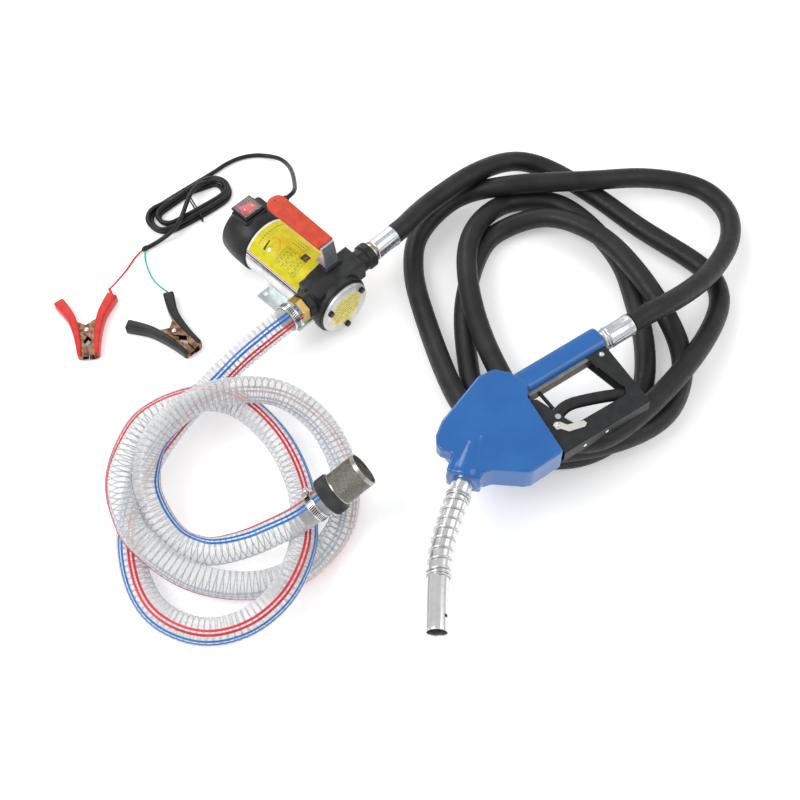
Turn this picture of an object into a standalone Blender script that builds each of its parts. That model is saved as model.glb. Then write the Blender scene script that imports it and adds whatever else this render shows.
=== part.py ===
"""Fluid transfer pump with its hoses, nozzle, strainer, power cable and clips.

Lengths below are in millimetres and become metres where a mesh is made.
The origin is the centre of the mounting foot's underside. +Z is up, +X points
out of the outlet port, and the front cover faces -Y.
"""
import math

import bmesh
import bpy
from mathutils import Matrix, Vector

MM = 0.001
GAP = 0.3                       # clearance between pieces that touch

# Motor and pump head
AXIS_Z = 46.0                   # height of the motor axis
SHELL_R = 37.0
SHELL_WALL = 3.0
SHELL_FRONT = -29.7
SHELL_REAR = 62.7
CAP_FRONT = 63.0
CAP_REAR = 110.5
HEAD_FRONT = -73.4
HEAD_REAR = -30.0
HEAD_R = 38.5
COVER_R = 35.0
COVER_FRONT = -80.0
CHAMBER_R = 22.0
CHAMBER_LIFT = 3.4              # the chamber is eccentric to the rotor
CHAMBER_BACK = -48.0
ROTOR_R = 18.0
VANE_COUNT = 4
SHAFT_R = 4.0
SCREW_CIRCLE_R = 29.5
SCREW_ANGLES = (30, 150, 270)

# Ports, on one axis along X
PORT_Y = -51.5
PORT_Z = 66.0
PORT_R = 17.0
INLET_X = -44.0
OUTLET_X = 68.0
PORT_BORE_R = 7.5
PORT_THREAD_R = 12.0

# Handle and foot
HANDLE_X = 14.0
STRAP_WIDTH = 19.4
STRAP_THICK = 2.2
PAD_TOP = 86.7
FOOT_X = 44.0
FOOT_Y = 39.0
FOOT_THICK = 2.0
FOOT_HOLE = (34.4, 33.6)

# Switch and cable gland
SWITCH_X = 1.0
SWITCH_Y = 94.0
SWITCH_TOP = 89.3
ROCKER_PIVOT_Z = 82.0
ROCKER_TILT = 8.0
GLAND_Y = 91.0
GLAND_Z = 60.0
GLAND_END = 62.0

# Hoses and cables
DELIVERY_D = 26.0
SUCTION_D = 31.5
CABLE_D = 6.0
WIRE_D = 2.2

# Nozzle: its local X runs along the barrel towards the hose, its local Y away
# from the lever, and its local Z up.
NOZZLE_AT = (46.6, -319.6, 83.0)
NOZZLE_TURN = -10.83
BARREL_END = 113.5
BORE_Y = -5.0
LEVER_PIVOT = (5.0, -61.5)
LATCH_PIVOT = (-2.3, -70.5)
STEM_X = 11.5
STEM_END = -46.0
GUARD_HALF = 9.0
GUARD_WALL = 1.6
SPOUT_R = 11.9
SPOUT_WALL = 1.3

# Strainer: its local X runs out of the hose's end.
STRAINER_AT = (-207.4, -263.5, 74.0)
STRAINER_TURN = -16.0
STRAINER_PITCH = 28.0           # how far its mouth is raised

# Battery clips: local X runs from the handles to the jaws' tips.
CLIP_TOP = 14.3
RED_CLIP = ((-232.0, 143.0, 0.0), -126.0)
BLACK_CLIP = ((-157.0, 65.0, 0.0), -89.3)

DELIVERY_ROUTE = [
    (110.8, -51.5, 66), (120, -51.5, 66), (130, -51.5, 65.9), (155, -47, 62.5), (192, -42, 55.5),
    (265, -46, 52), (332, -57, 31), (358, -85, 22), (374, -160, 14), (374, -240, 13.2), (377, -350, 15),
    (354, -385, 18), (301, -410, 28), (200, -430, 47), (107, -433, 59), (62, -421, 60),
    (38, -390, 56), (40, -350, 47), (52, -308, 41), (93, -221, 35), (138, -155, 39),
    (182, -114, 37), (226, -95, 31), (284, -92, 15), (327, -131, 13.2), (333, -180, 13.2),
    (314, -257, 13.2), (281, -307, 13.2), (236, -361, 13.2), (181, -403, 13.2),
    (114, -423, 13.2), (57, -407, 13.2), (17, -364, 13.2), (9, -325, 13.2), (36, -262, 13.2),
    (60, -230, 13.2), (122, -165, 13.2), (199, -120, 13.2), (237, -115, 14), (295, -147, 24),
    (312, -219, 36), (296, -302, 38), (269, -382, 20), (239, -418, 15), (184, -444, 21),
    (136, -445, 29), (72, -421, 36.5), (11, -371, 36.5), (-1, -344, 37), (0, -295, 35),
    (11, -256, 27), (77, -138, 15), (118, -80, 13.2), (164, -45, 14), (239, -41, 21),
    (289, -84, 39), (372, -156, 39), (442, -202, 24), (480, -259, 18), (469, -308, 21),
    (426, -343, 30), (352, -363, 47), (280, -366, 70), (243, -362.2, 81), (225, -358.9, 83),
    (212, -356.4, 83), (201.6, -354.4, 83),
]
SUCTION_ROUTE = [
    (-56.7, -51.5, 66), (-66, -51.5, 66), (-76, -51.4, 65.6), (-104, -45, 54), (-145, -35, 33),
    (-190, -33.5, 19), (-230, -37, 16), (-297, -58, 16), (-348, -89, 16), (-393, -142, 16), (-414, -208, 16.5),
    (-394, -264, 20), (-354, -293, 28), (-308, -298, 38), (-267, -283, 45), (-230, -248, 21),
    (-201, -212, 18), (-179, -158, 22), (-175, -108, 29), (-182, -78, 34), (-208, -50, 43),
    (-274, -30, 46), (-320, -49, 45), (-350, -75, 46), (-372, -120, 47), (-376, -140, 45),
    (-362, -208, 27), (-312, -266, 16.5), (-256, -285, 16), (-207, -279, 16),
    (-174, -258, 16), (-144, -221, 17), (-127, -168, 27), (-136, -122, 44), (-159, -97, 58),
    (-217, -65, 70), (-285, -63, 61), (-323, -90, 48), (-337, -113, 42), (-345, -163, 27),
    (-333, -192, 25), (-320, -208, 29), (-291, -231, 42.5), (-268, -243.5, 51.5),
    (-252, -250, 54.8), (-240, -253.9, 57.7), (-230.3, -256.9, 61.4), (-222.7, -259.1, 65.5),
    (-215, -261.3, 69.8), (-208, -263.3, 73.7),
]
CABLE_ROUTE = [
    (62.6, 91, 60), (67, 91.1, 60), (79, 96.5, 55), (94, 113.3, 44), (111.9, 138.1, 30),
    (124.5, 162, 17), (129.2, 186.3, 7.5), (122.5, 204.8, 3.3), (112, 216.6, 3.2),
    (96, 226.5, 3.2), (79, 231.2, 3.2), (62, 232.8, 3.2), (45.5, 231.6, 3.2),
]
TAIL_ROUTE = [
    (18, 221, 16.2), (6, 219, 16.2), (-5, 213.8, 16.1), (-15, 207.5, 16), (-29, 198, 16.2),
    (-43, 190.5, 16.3), (-57, 187.5, 13.5), (-71, 190.5, 8), (-83, 194.5, 4), (-94, 197, 3.2),
]
RED_WIRE_ROUTE = [
    (-97.5, 198.5, 3), (-112, 197, 1.6), (-132, 189.5, 1.6), (-152, 182.5, 3.5),
    (-170.5, 176.5, 7),
]
GREEN_WIRE_ROUTE = [
    (-97.6, 195.2, 3), (-106.6, 184.4, 1.6), (-114.3, 169.1, 1.6), (-120, 152.5, 1.6),
    (-122, 137, 4), (-121.8, 121.5, 7),
]

# The cable's hank: a stadium ring around two centres
HANK_CENTRES = ((-42.0, 216.5), (27.0, 207.0))
HANK_OUTER_R = 27.0
HANK_INNER_R = 8.0
HANK_TOP = 12.7


# ---------------------------------------------------------------- helpers

def material(name, colour, roughness, metallic=0.0):
    mat = bpy.data.materials.new(name)
    mat.use_nodes = True
    shader = mat.node_tree.nodes["Principled BSDF"]
    shader.inputs["Base Color"].default_value = (*colour, 1.0)
    shader.inputs["Roughness"].default_value = roughness
    shader.inputs["Metallic"].default_value = metallic
    mat.diffuse_color = (*colour, 1.0)
    return mat


def prism(outline, low, high):
    """A flat outline in XY, extruded from low to high along Z."""
    bm = bmesh.new()
    face = bm.faces.new([bm.verts.new((x, y, low)) for x, y in outline])
    top = bmesh.ops.extrude_face_region(bm, geom=[face])["geom"]
    lifted = [item for item in top if isinstance(item, bmesh.types.BMVert)]
    bmesh.ops.translate(bm, vec=(0, 0, high - low), verts=lifted)
    bmesh.ops.recalc_face_normals(bm, faces=bm.faces)
    return bm


def rounded_prism(outline, low, high, bevel, segments=2):
    """A prism whose top and bottom rims are rounded."""
    bm = prism(outline, low, high)
    rims = [e for e in bm.edges if abs(e.verts[0].co.z - e.verts[1].co.z) < 1e-6]
    bmesh.ops.bevel(bm, geom=rims, offset=bevel, segments=segments, affect="EDGES",
                    profile=0.6, clamp_overlap=True)
    return bm


def block(low, high):
    return prism([(low[0], low[1]), (high[0], low[1]), (high[0], high[1]),
                  (low[0], high[1])], low[2], high[2])


def turned(profile, sides):
    """A profile of (radius, height) turned about Z. It starts and ends on the
    axis, or else it closes on itself as a ring."""
    bm = bmesh.new()
    rings = []
    for radius, height in profile:
        if radius == 0:
            rings.append([bm.verts.new((0, 0, height))] * sides)
            continue
        angles = [2 * math.pi * i / sides for i in range(sides)]
        rings.append([bm.verts.new((radius * math.cos(a), radius * math.sin(a), height))
                      for a in angles])
    solid = profile[0][0] == 0
    pairs = list(zip(rings, rings[1:] if solid else rings[1:] + rings[:1]))
    for lower, upper in pairs:
        for i in range(sides):
            j = (i + 1) % sides
            corners = [lower[i], lower[j], upper[j], upper[i]]
            unique = list(dict.fromkeys(corners))
            if len(unique) > 2:
                bm.faces.new(unique)
    bmesh.ops.recalc_face_normals(bm, faces=bm.faces)
    return bm


def rod(radius, low, high, sides=18):
    return turned([(0, low), (radius, low), (radius, high), (0, high)], sides)


def ring(inner, outer, low, high, sides=24):
    return turned([(inner, low), (outer, low), (outer, high), (inner, high)], sides)


def loft(loops):
    """Joins equal loops of points in order and closes both ends."""
    bm = bmesh.new()
    rows = [[bm.verts.new(p) for p in loop] for loop in loops]
    count = len(rows[0])
    for a, b in zip(rows, rows[1:]):
        for i in range(count):
            j = (i + 1) % count
            bm.faces.new([a[i], a[j], b[j], b[i]])
    bm.faces.new(rows[0])
    bm.faces.new(rows[-1])
    bmesh.ops.recalc_face_normals(bm, faces=bm.faces)
    return bm


def moved(bm, shift=(0, 0, 0), turn=None):
    """Applies a turn, then a shift."""
    matrix = Matrix.Translation(shift) @ (turn if turn else Matrix.Identity(4))
    bmesh.ops.transform(bm, matrix=matrix, verts=bm.verts)
    return bm


ALONG_X = Matrix.Rotation(math.radians(90), 4, "Y")
ALONG_Y = Matrix.Rotation(math.radians(-90), 4, "X")


def on_motor_axis(bm):
    return moved(bm, (0, 0, AXIS_Z), ALONG_Y)


def temporary(bm):
    mesh = bpy.data.meshes.new("temporary")
    bm.to_mesh(mesh)
    bm.free()
    obj = bpy.data.objects.new("temporary", mesh)
    bpy.context.collection.objects.link(obj)
    return obj


def combined(base, tools, operation):
    """Applies a Boolean of each tool to the base, all as bmeshes."""
    target = temporary(base)
    helpers = [temporary(tool) for tool in tools]
    for helper in helpers:
        modifier = target.modifiers.new("cut", "BOOLEAN")
        modifier.operation = operation
        modifier.solver = "EXACT"
        modifier.object = helper
    graph = bpy.context.evaluated_depsgraph_get()
    result = bmesh.new()
    result.from_mesh(target.evaluated_get(graph).to_mesh())
    for obj in [target, *helpers]:
        bpy.data.objects.remove(obj)
    bmesh.ops.remove_doubles(result, verts=result.verts, dist=1e-4)
    bmesh.ops.dissolve_degenerate(result, edges=result.edges, dist=1e-4)
    return result


def union(base, *tools):
    return combined(base, tools, "UNION")


def cut(base, *tools):
    return combined(base, tools, "DIFFERENCE")


def place(name, bm, mat, parent=None, at=(0, 0, 0), sharp=35):
    """Makes a named object from a bmesh in millimetres around the point `at`."""
    bmesh.ops.scale(bm, vec=(MM, MM, MM), verts=bm.verts)
    mesh = bpy.data.meshes.new(name)
    bm.to_mesh(mesh)
    bm.free()
    mesh.materials.append(mat)
    mesh.shade_smooth()
    mesh.set_sharp_from_angle(angle=math.radians(sharp))
    obj = bpy.data.objects.new(name, mesh)
    bpy.context.collection.objects.link(obj)
    obj.parent = parent
    obj.location = Vector(at) * MM
    return obj


def frame_at(name, at, turn_z, pitch=0.0):
    empty = bpy.data.objects.new(name, None)
    bpy.context.collection.objects.link(empty)
    empty.location = Vector(at) * MM
    empty.rotation_euler = (0, math.radians(-pitch), math.radians(turn_z))
    return empty


def strip_outline(points, width):
    """The outline of a strip along open points in a plane. The width is one
    number, or one for each point."""
    left, right = [], []
    path = [Vector(p) for p in points]
    widths = width if isinstance(width, list) else [width] * len(path)
    for i, point in enumerate(path):
        before = (point - path[i - 1]).normalized() if i else None
        after = (path[i + 1] - point).normalized() if i < len(path) - 1 else None
        along = ((before or after) + (after or before)).normalized()
        side = Vector((-along.y, along.x))
        reach = widths[i] / 2
        if before and after:
            reach /= max(0.3, math.cos(before.angle(after) / 2))
        left.append(tuple(point + side * reach))
        right.append(tuple(point - side * reach))
    return left + right[::-1]


def inset_outline(outline, depth):
    """Moves every edge of an anticlockwise outline inwards by a depth."""
    result = []
    count = len(outline)
    for i in range(count):
        a, b, c = (Vector(outline[(i + k) % count]) for k in (-1, 0, 1))
        first, second = (b - a).normalized(), (c - b).normalized()
        n1, n2 = Vector((-first.y, first.x)), Vector((-second.y, second.x))
        bisector = (n1 + n2).normalized()
        result.append(tuple(b + bisector * depth / max(0.35, bisector.dot(n1))))
    return result


def smooth_route(points, spacing):
    """Even points along a smooth curve through the given points."""
    knots = [Vector(p) for p in points]
    knots = [2 * knots[0] - knots[1]] + knots + [2 * knots[-1] - knots[-2]]
    dense = []
    for i in range(1, len(knots) - 2):
        p = knots[i - 1:i + 3]
        t = [0.0]
        for a, b in zip(p, p[1:]):
            t.append(t[-1] + math.sqrt((b - a).length))
        for k in range(24):
            u = t[1] + (t[2] - t[1]) * k / 24
            a1 = p[0].lerp(p[1], (u - t[0]) / (t[1] - t[0]))
            a2 = p[1].lerp(p[2], (u - t[1]) / (t[2] - t[1]))
            a3 = p[2].lerp(p[3], (u - t[2]) / (t[3] - t[2]))
            b1 = a1.lerp(a2, (u - t[0]) / (t[2] - t[0]))
            b2 = a2.lerp(a3, (u - t[1]) / (t[3] - t[1]))
            dense.append(b1.lerp(b2, (u - t[1]) / (t[2] - t[1])))
    dense.append(knots[-2])
    for _ in range(30):
        middle = [(a + 2 * b + c) / 4 for a, b, c in zip(dense, dense[1:], dense[2:])]
        dense = [dense[0], *middle, dense[-1]]
    reach = [0.0]
    for a, b in zip(dense, dense[1:]):
        reach.append(reach[-1] + (b - a).length)
    count = max(2, round(reach[-1] / spacing))
    even, k = [], 0
    for i in range(count + 1):
        target = reach[-1] * i / count
        while k < len(dense) - 2 and reach[k + 1] < target:
            k += 1
        share = (target - reach[k]) / (reach[k + 1] - reach[k])
        even.append(dense[k].lerp(dense[k + 1], min(1.0, share)))
    return even


def tube_points(route, spacing, end_steps):
    """Points along a smooth route, with extra ones near both ends so that the
    end faces stand square to the route."""
    fine = smooth_route(route, 1.0)
    last = len(fine) - 1
    reach = spacing * 0.7
    count = max(1, round((last - 2 * reach) / spacing))
    middle = [reach + (last - 2 * reach) * i / count for i in range(count + 1)]
    stops = [0, *end_steps, *middle, *(last - step for step in end_steps[::-1]), last]
    return [fine[round(stop)] for stop in stops]


def curve_tube(name, points, diameter, mat, resolution, parent=None):
    """A solid tube along points in millimetres, as a bevelled curve."""
    curve = bpy.data.curves.new(name, "CURVE")
    curve.dimensions = "3D"
    spline = curve.splines.new("POLY")
    spline.points.add(len(points) - 1)
    for slot, point in zip(spline.points, points):
        slot.co = (*(Vector(point) * MM), 1.0)
    curve.bevel_depth = diameter / 2 * MM
    curve.bevel_resolution = resolution
    curve.use_fill_caps = True
    curve.materials.append(mat)
    obj = bpy.data.objects.new(name, curve)
    bpy.context.collection.objects.link(obj)
    obj.parent = parent
    return obj


def flat_frames(points):
    """The side direction at each point of a path that lies in a plane of
    constant Z."""
    sides = []
    for i in range(len(points)):
        a = points[max(0, i - 1)]
        b = points[min(len(points) - 1, i + 1)]
        along = (b - a).normalized()
        sides.append(Vector((-along.y, along.x, 0)))
    return sides


def swept(points, across, height, sides):
    """A bar along a path of constant Z, with an elliptical section."""
    up = Vector((0, 0, 1))
    loops = []
    for point, side in zip(points, flat_frames(points)):
        turn = [2 * math.pi * i / sides for i in range(sides)]
        loops.append([point + side * across * math.cos(a) + up * height * math.sin(a)
                      for a in turn])
    return loft(loops)


# ---------------------------------------------------------------- motor

def motor():
    steel = material("shell_yellow", (0.85, 0.74, 0.06), 0.35)
    black = material("cap_black", (0.02, 0.02, 0.02), 0.45)
    place("motor_shell", on_motor_axis(
        ring(SHELL_R - SHELL_WALL, SHELL_R, SHELL_FRONT, SHELL_REAR, 40)), steel)

    cap = on_motor_axis(turned([
        (0, CAP_REAR), (30, CAP_REAR), (34.8, 108.4), (37.6, 103), (39.5, 90),
        (39.5, CAP_FRONT), (36, CAP_FRONT), (36, 90), (33, 102), (30, 106), (11, 106),
        (11, 84), (SHAFT_R + GAP, 84), (SHAFT_R + GAP, 103), (0, 103)], 28))
    housing = rounded_prism([(-17, 77), (19, 77), (19, 106), (-17, 106)], 74, 86, 1.2, 1)
    shoulder = rounded_prism([(15, 79), (31, 79), (31, 109), (15, 109)], 60, 79.5, 4, 2)
    pocket = block((-11.5, 83.5, 60), (13.5, 104.5, 95))
    throat = moved(rod(5.6, 25, 55), (0, GLAND_Y, GLAND_Z), ALONG_X)
    hollow = on_motor_axis(rod(32.5, 70, 99, 24))
    cap = cut(union(cap, cut(union(housing, shoulder), hollow)), pocket, throat)
    place("motor_end_cap", cap, black)

    frame = block((SWITCH_X - 15, SWITCH_Y - 14, 86.3), (SWITCH_X + 15, SWITCH_Y + 14, SWITCH_TOP))
    box = block((SWITCH_X - 12.2, 84, 68), (SWITCH_X + 12.2, 104, 87))
    well = block((SWITCH_X - 11, 86, 70), (SWITCH_X + 11, 102, 95))
    place("switch_bezel", cut(union(frame, box), well), material("bezel_black", (0.02,) * 3, 0.3))

    side = [(-9.6, 2), (-5, -4), (5, -4), (9.6, 2), (9.7, 7), (0, 5.4), (-9.7, 7)]
    rocker = moved(prism(side, -7.5, 7.5), turn=Matrix.Rotation(math.radians(90), 4, "X"))
    moved(rocker, turn=Matrix.Rotation(math.radians(ROCKER_TILT), 4, "Y"))
    place("switch_rocker", rocker, material("rocker_red", (0.7, 0.03, 0.02), 0.3),
          at=(SWITCH_X, SWITCH_Y, ROCKER_PIVOT_Z))

    gland = moved(turned([
        (0, 35), (5.3, 35), (5.3, 40.2), (7.6, 40.2), (7.6, 43.5), (6.6, 43.5), (6.4, 50),
        (4.6, 55), (4.2, GLAND_END), (0, GLAND_END)], 20), (0, GLAND_Y, GLAND_Z), ALONG_X)
    place("cable_gland", gland, material("gland_black", (0.02,) * 3, 0.55))


def motor_insides():
    steel = material("shaft_steel", (0.6, 0.6, 0.6), 0.3, 1.0)
    place("motor_shaft", moved(rod(SHAFT_R, -71, 92, 20), turn=ALONG_Y), steel,
          at=(0, 0, AXIS_Z))
    armature = turned([
        (SHAFT_R + GAP, -4), (14, -4), (20, 0), (24, 2), (24, 42), (20, 44), (14, 47),
        (10, 48), (10, 60), (SHAFT_R + GAP, 60)], 18)
    place("armature", moved(armature, turn=ALONG_Y), material("copper", (0.7, 0.35, 0.15), 0.4, 0.8),
          at=(0, 0, AXIS_Z))
    ferrite = material("ferrite", (0.08, 0.08, 0.08), 0.7)
    place("field_magnet", on_motor_axis(ring(29, 33.7, 0, 45, 24)), ferrite)
    plate = ring(14, 33.7, 50, 53, 20)
    brushes = [block((s * 19 - 8.7, -3, 50.5), (s * 19 + 8.7, 3, 57)) for s in (-1, 1)]
    place("brush_plate", on_motor_axis(union(plate, *brushes)),
          material("carbon", (0.05, 0.05, 0.05), 0.8))
    bearing = material("bearing_steel", (0.55, 0.55, 0.57), 0.25, 1.0)
    place("front_bearing", on_motor_axis(ring(SHAFT_R + GAP, 10.7, -40, -31, 24)), bearing)


# ---------------------------------------------------------------- pump head

def screw_places():
    for number, angle in enumerate(SCREW_ANGLES, start=1):
        a = math.radians(angle)
        yield number, SCREW_CIRCLE_R * math.cos(a), AXIS_Z + SCREW_CIRCLE_R * math.sin(a)


def pump_head():
    black = material("head_black", (0.025, 0.025, 0.025), 0.5)
    flange = on_motor_axis(turned([
        (0, HEAD_FRONT), (HEAD_R - 1, HEAD_FRONT), (HEAD_R, HEAD_FRONT + 1), (HEAD_R, -64),
        (36.5, -62), (36.5, HEAD_REAR), (0, HEAD_REAR)], 30))
    length = OUTLET_X - INLET_X
    ports = moved(turned([
        (0, 0), (PORT_R, 0), (PORT_R, 9), (PORT_R - 2.5, 11), (PORT_R - 2.5, length - 11),
        (PORT_R, length - 9), (PORT_R, length), (0, length)], 20),
        (INLET_X, PORT_Y, PORT_Z), ALONG_X)
    saddle = rounded_prism([(-30, -66), (48, -66), (48, -31), (-30, -31)], 50, 83.5, 3, 1)
    pad = block((1, -47, 76), (27, -31, PAD_TOP))
    body = union(flange, ports, saddle, pad)

    chamber = moved(rod(CHAMBER_R, HEAD_FRONT - 5, CHAMBER_BACK, 24),
                    (0, 0, AXIS_Z + CHAMBER_LIFT), ALONG_Y)
    shaft_way = on_motor_axis(turned([
        (0, -55), (5.5, -55), (5.5, -41), (11, -41), (11, -25), (0, -25)], 18))
    bore = [(0, -2), (PORT_THREAD_R + GAP, -2), (PORT_THREAD_R + GAP, 12), (PORT_BORE_R, 12)]
    inlet = moved(turned(bore + [(PORT_BORE_R, 33), (0, 33)], 18),
                  (INLET_X, PORT_Y, PORT_Z), ALONG_X)
    outlet = moved(turned(bore + [(PORT_BORE_R, 57), (0, 57)], 18),
                   (OUTLET_X, PORT_Y, PORT_Z), Matrix.Rotation(math.radians(-90), 4, "Y"))
    taps = [moved(rod(2.2, HEAD_FRONT - 2, HEAD_FRONT + 9, 8), (x, 0, z), ALONG_Y)
            for _, x, z in screw_places()]
    handle_tap = moved(rod(2.2, PAD_TOP - 9, PAD_TOP + 2, 8), (HANDLE_X, -37, 0))
    bypass = moved(turned([
        (0, 5), (5.3, 5), (5.3, 20), (2.5, 20), (2.5, 34), (0, 34)], 14), (0, -57, 0))
    place("pump_head", cut(body, chamber, shaft_way, inlet, outlet, handle_tap, bypass, *taps),
          black)


def pump_cover():
    silver = material("cover_silver", (0.62, 0.62, 0.6), 0.4, 0.6)
    back = HEAD_FRONT - GAP
    disc = on_motor_axis(turned([
        (0, COVER_FRONT), (COVER_R - 1, COVER_FRONT), (COVER_R, COVER_FRONT + 1),
        (COVER_R, back), (0, back)], 40))
    holes = [moved(rod(2.3, COVER_FRONT - 2, back + 2, 8), (x, 0, z), ALONG_Y)
             for _, x, z in screw_places()]
    place("front_cover", cut(disc, *holes), silver)
    black = material("screw_black", (0.03, 0.03, 0.03), 0.35, 0.5)
    for number, x, z in screw_places():
        screw = turned([
            (0, COVER_FRONT - 4), (3.4, COVER_FRONT - 4), (3.9, COVER_FRONT - 3.4),
            (3.9, COVER_FRONT - GAP), (1.9, COVER_FRONT - GAP), (1.9, -65.5), (0, -65.5)], 12)
        place(f"cover_screw_{number}", moved(screw, (x, 0, z), ALONG_Y), black)


def pump_rotor():
    steel = material("rotor_steel", (0.5, 0.5, 0.5), 0.35, 1.0)
    body = ring(SHAFT_R + GAP, ROTOR_R, -72.8, -48.6, 32)
    slots = []
    for k in range(VANE_COUNT):
        turn = Matrix.Rotation(math.radians(45 + 360 / VANE_COUNT * k), 4, "Z")
        slots.append(moved(block((9, -1.3, -80), (22, 1.3, -40)), turn=turn))
    place("pump_rotor", moved(cut(body, *slots), turn=ALONG_Y), steel, at=(0, 0, AXIS_Z))
    carbon = material("vane_carbon", (0.06, 0.06, 0.06), 0.5)
    for k in range(VANE_COUNT):
        turn = Matrix.Rotation(math.radians(45 + 360 / VANE_COUNT * k), 4, "Z")
        vane = moved(block((9.4, -1, -72.6), (17.9, 1, -48.8)), turn=turn)
        place(f"vane_{k + 1}", moved(vane, turn=ALONG_Y), carbon, at=(0, 0, AXIS_Z))


def bypass_valve():
    brass = material("valve_brass", (0.75, 0.55, 0.2), 0.35, 1.0)
    poppet = turned([(0, 15), (4.9, 15), (4.9, 18.2), (2.0, 19.7), (2.0, 22), (0, 22)], 16)
    place("bypass_poppet", poppet, brass, at=(0, -57, 0))
    plug = turned([(0, 7.6), (4.9, 7.6), (4.9, 11), (0, 11)], 16)
    place("bypass_plug", moved(plug, (0, -57, 0)), brass)


# ---------------------------------------------------------------- fittings

def inlet_side():
    brass = material("barb_brass", (0.78, 0.58, 0.25), 0.3, 1.0)
    hexagon = turned([(8.5, 0), (16.2, 0), (16.8, 1), (16.8, 10.6), (16, 11.7), (8.5, 11.7)], 6)
    moved(hexagon, (INLET_X - 12, PORT_Y, PORT_Z), ALONG_X)
    thread = moved(ring(8.5, PORT_THREAD_R, 0, 11.5, 24),
                   (INLET_X - 1, PORT_Y, PORT_Z), ALONG_X)
    place("inlet_barb", union(hexagon, thread), brass)
    clamp("inlet_clamp", None, (-60.5, PORT_Y, PORT_Z), -1, 140)


def clamp(name, parent, at, direction, housing_angle):
    """A worm-drive clamp around the suction hose, along X from its start."""
    steel = material(name + "_steel", (0.6, 0.6, 0.58), 0.3, 1.0)
    band = ring(SUCTION_D / 2 + 0.75, SUCTION_D / 2 + 1.6, 0, 10.5, 30)
    housing = block((SUCTION_D / 2 + 1.0, -8, 0.4), (SUCTION_D / 2 + 8, 7, 10.1))
    screw = moved(rod(3.4, -7, 12, 12), (SUCTION_D / 2 + 4.6, 0, 5.2), ALONG_Y)
    body = union(band, housing, screw)
    moved(body, turn=Matrix.Rotation(math.radians(housing_angle), 4, "Z"))
    place(name, moved(body, at, Matrix.Rotation(math.radians(90 * direction), 4, "Y")), steel,
          parent)


def outlet_side():
    zinc = material("zinc", (0.62, 0.64, 0.66), 0.3, 1.0)
    nipple = union(
        moved(ring(8, 13.2, OUTLET_X + GAP, 74, 24), (0, PORT_Y, PORT_Z), ALONG_X),
        moved(ring(7.5, PORT_THREAD_R, OUTLET_X - 11, 72, 16), (0, PORT_Y, PORT_Z), ALONG_X))
    place("outlet_nipple", nipple, zinc)
    ferrule = turned([
        (8, 74.3), (12.6, 74.3), (13.6, 76), (13.6, 84), (12.9, 90), (12.9, 106), (13.6, 108),
        (13.6, 110), (8, 110)], 20)
    place("outlet_ferrule", moved(ferrule, (0, PORT_Y, PORT_Z), ALONG_X), zinc)


# ---------------------------------------------------------------- handle, foot

def handle():
    zinc = material("strap_zinc", (0.62, 0.66, 0.68), 0.35, 1.0)
    half = STRAP_WIDTH / 2
    low = PAD_TOP + GAP + STRAP_THICK / 2
    run = [(-25, low), (-43, low), (-36.9, 118.3), (48, 120.6)]
    sideways = Matrix(((0, 0, 1, 0), (1, 0, 0, 0), (0, 1, 0, 0), (0, 0, 0, 1)))
    strap = moved(prism(strip_outline(run, STRAP_THICK), -half, half), (HANDLE_X, 0, 0), sideways)
    hole = moved(rod(2.3, 80, 95, 12), (HANDLE_X, -37, 0))
    place("handle_strap", cut(strap, hole), zinc)

    loops = []
    stations = [(-34.6, 11.2), (-33.6, 11.6), (20, 12.4), (50, 13)]
    stations += [(50 + 13 * math.sin(a), 13 * math.cos(a))
                 for a in (math.radians(d) for d in (30, 55, 75, 86))]
    for y, half_width in stations:
        share = min(1.0, (y + 34.6) / 85)
        thick = 3.3 + 0.8 * share
        middle = 118.4 + 2.2 * share
        if y > 58:
            thick *= math.sqrt(max(0.2, 1 - ((y - 58) / 6) ** 2))
        edge = min(2.0, thick - 0.4, half_width * 0.8)
        corners = [(1, 1), (-1, 1), (-1, -1), (1, -1)]
        loop = []
        for k, (sx, sz) in enumerate(corners):
            for a in (0, 45, 90):
                turn = math.radians(90 * k + a)
                loop.append((HANDLE_X + sx * (half_width - edge) + edge * math.cos(turn), y,
                             middle + sz * (thick - edge) + edge * math.sin(turn)))
        loops.append(loop)
    core = [(-45, 118.08), (-36.9, 118.3), (49, 120.63)]
    pocket = moved(prism(strip_outline(core, STRAP_THICK + 2 * GAP), -half - GAP, half + GAP),
                   (HANDLE_X, 0, 0), sideways)
    place("handle_sleeve", cut(loft(loops), pocket), material("sleeve_red", (0.75, 0.07, 0.03), 0.5))
    screw = turned([(0, 78.5), (1.9, 78.5), (1.9, 89.5), (4.2, 89.5), (3.6, 91.6), (0, 92)], 14)
    place("handle_screw", moved(screw, (HANDLE_X, -37, 0)), zinc)


def mounting_foot():
    plate = block((-FOOT_X, -FOOT_Y + 1, 0), (FOOT_X, FOOT_Y, FOOT_THICK))
    tube = on_motor_axis(rod(SHELL_R + GAP, -60, 60, 48))
    webs = []
    for side in (-1, 1):
        outer, inner = side * 27, side * 24.6
        low, high = min(outer, inner), max(outer, inner)
        webs.append(block((low, -26, 1), (high, 34, 21)))
    holes = [moved(rod(3.2, -2, 4, 16), (sx * FOOT_HOLE[0], sy * FOOT_HOLE[1], 0))
             for sx in (-1, 1) for sy in (-1, 1)]
    place("mounting_foot", cut(union(plate, *webs), tube, *holes),
          material("foot_zinc", (0.6, 0.64, 0.63), 0.4, 1.0))


# ---------------------------------------------------------------- nozzle

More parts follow.
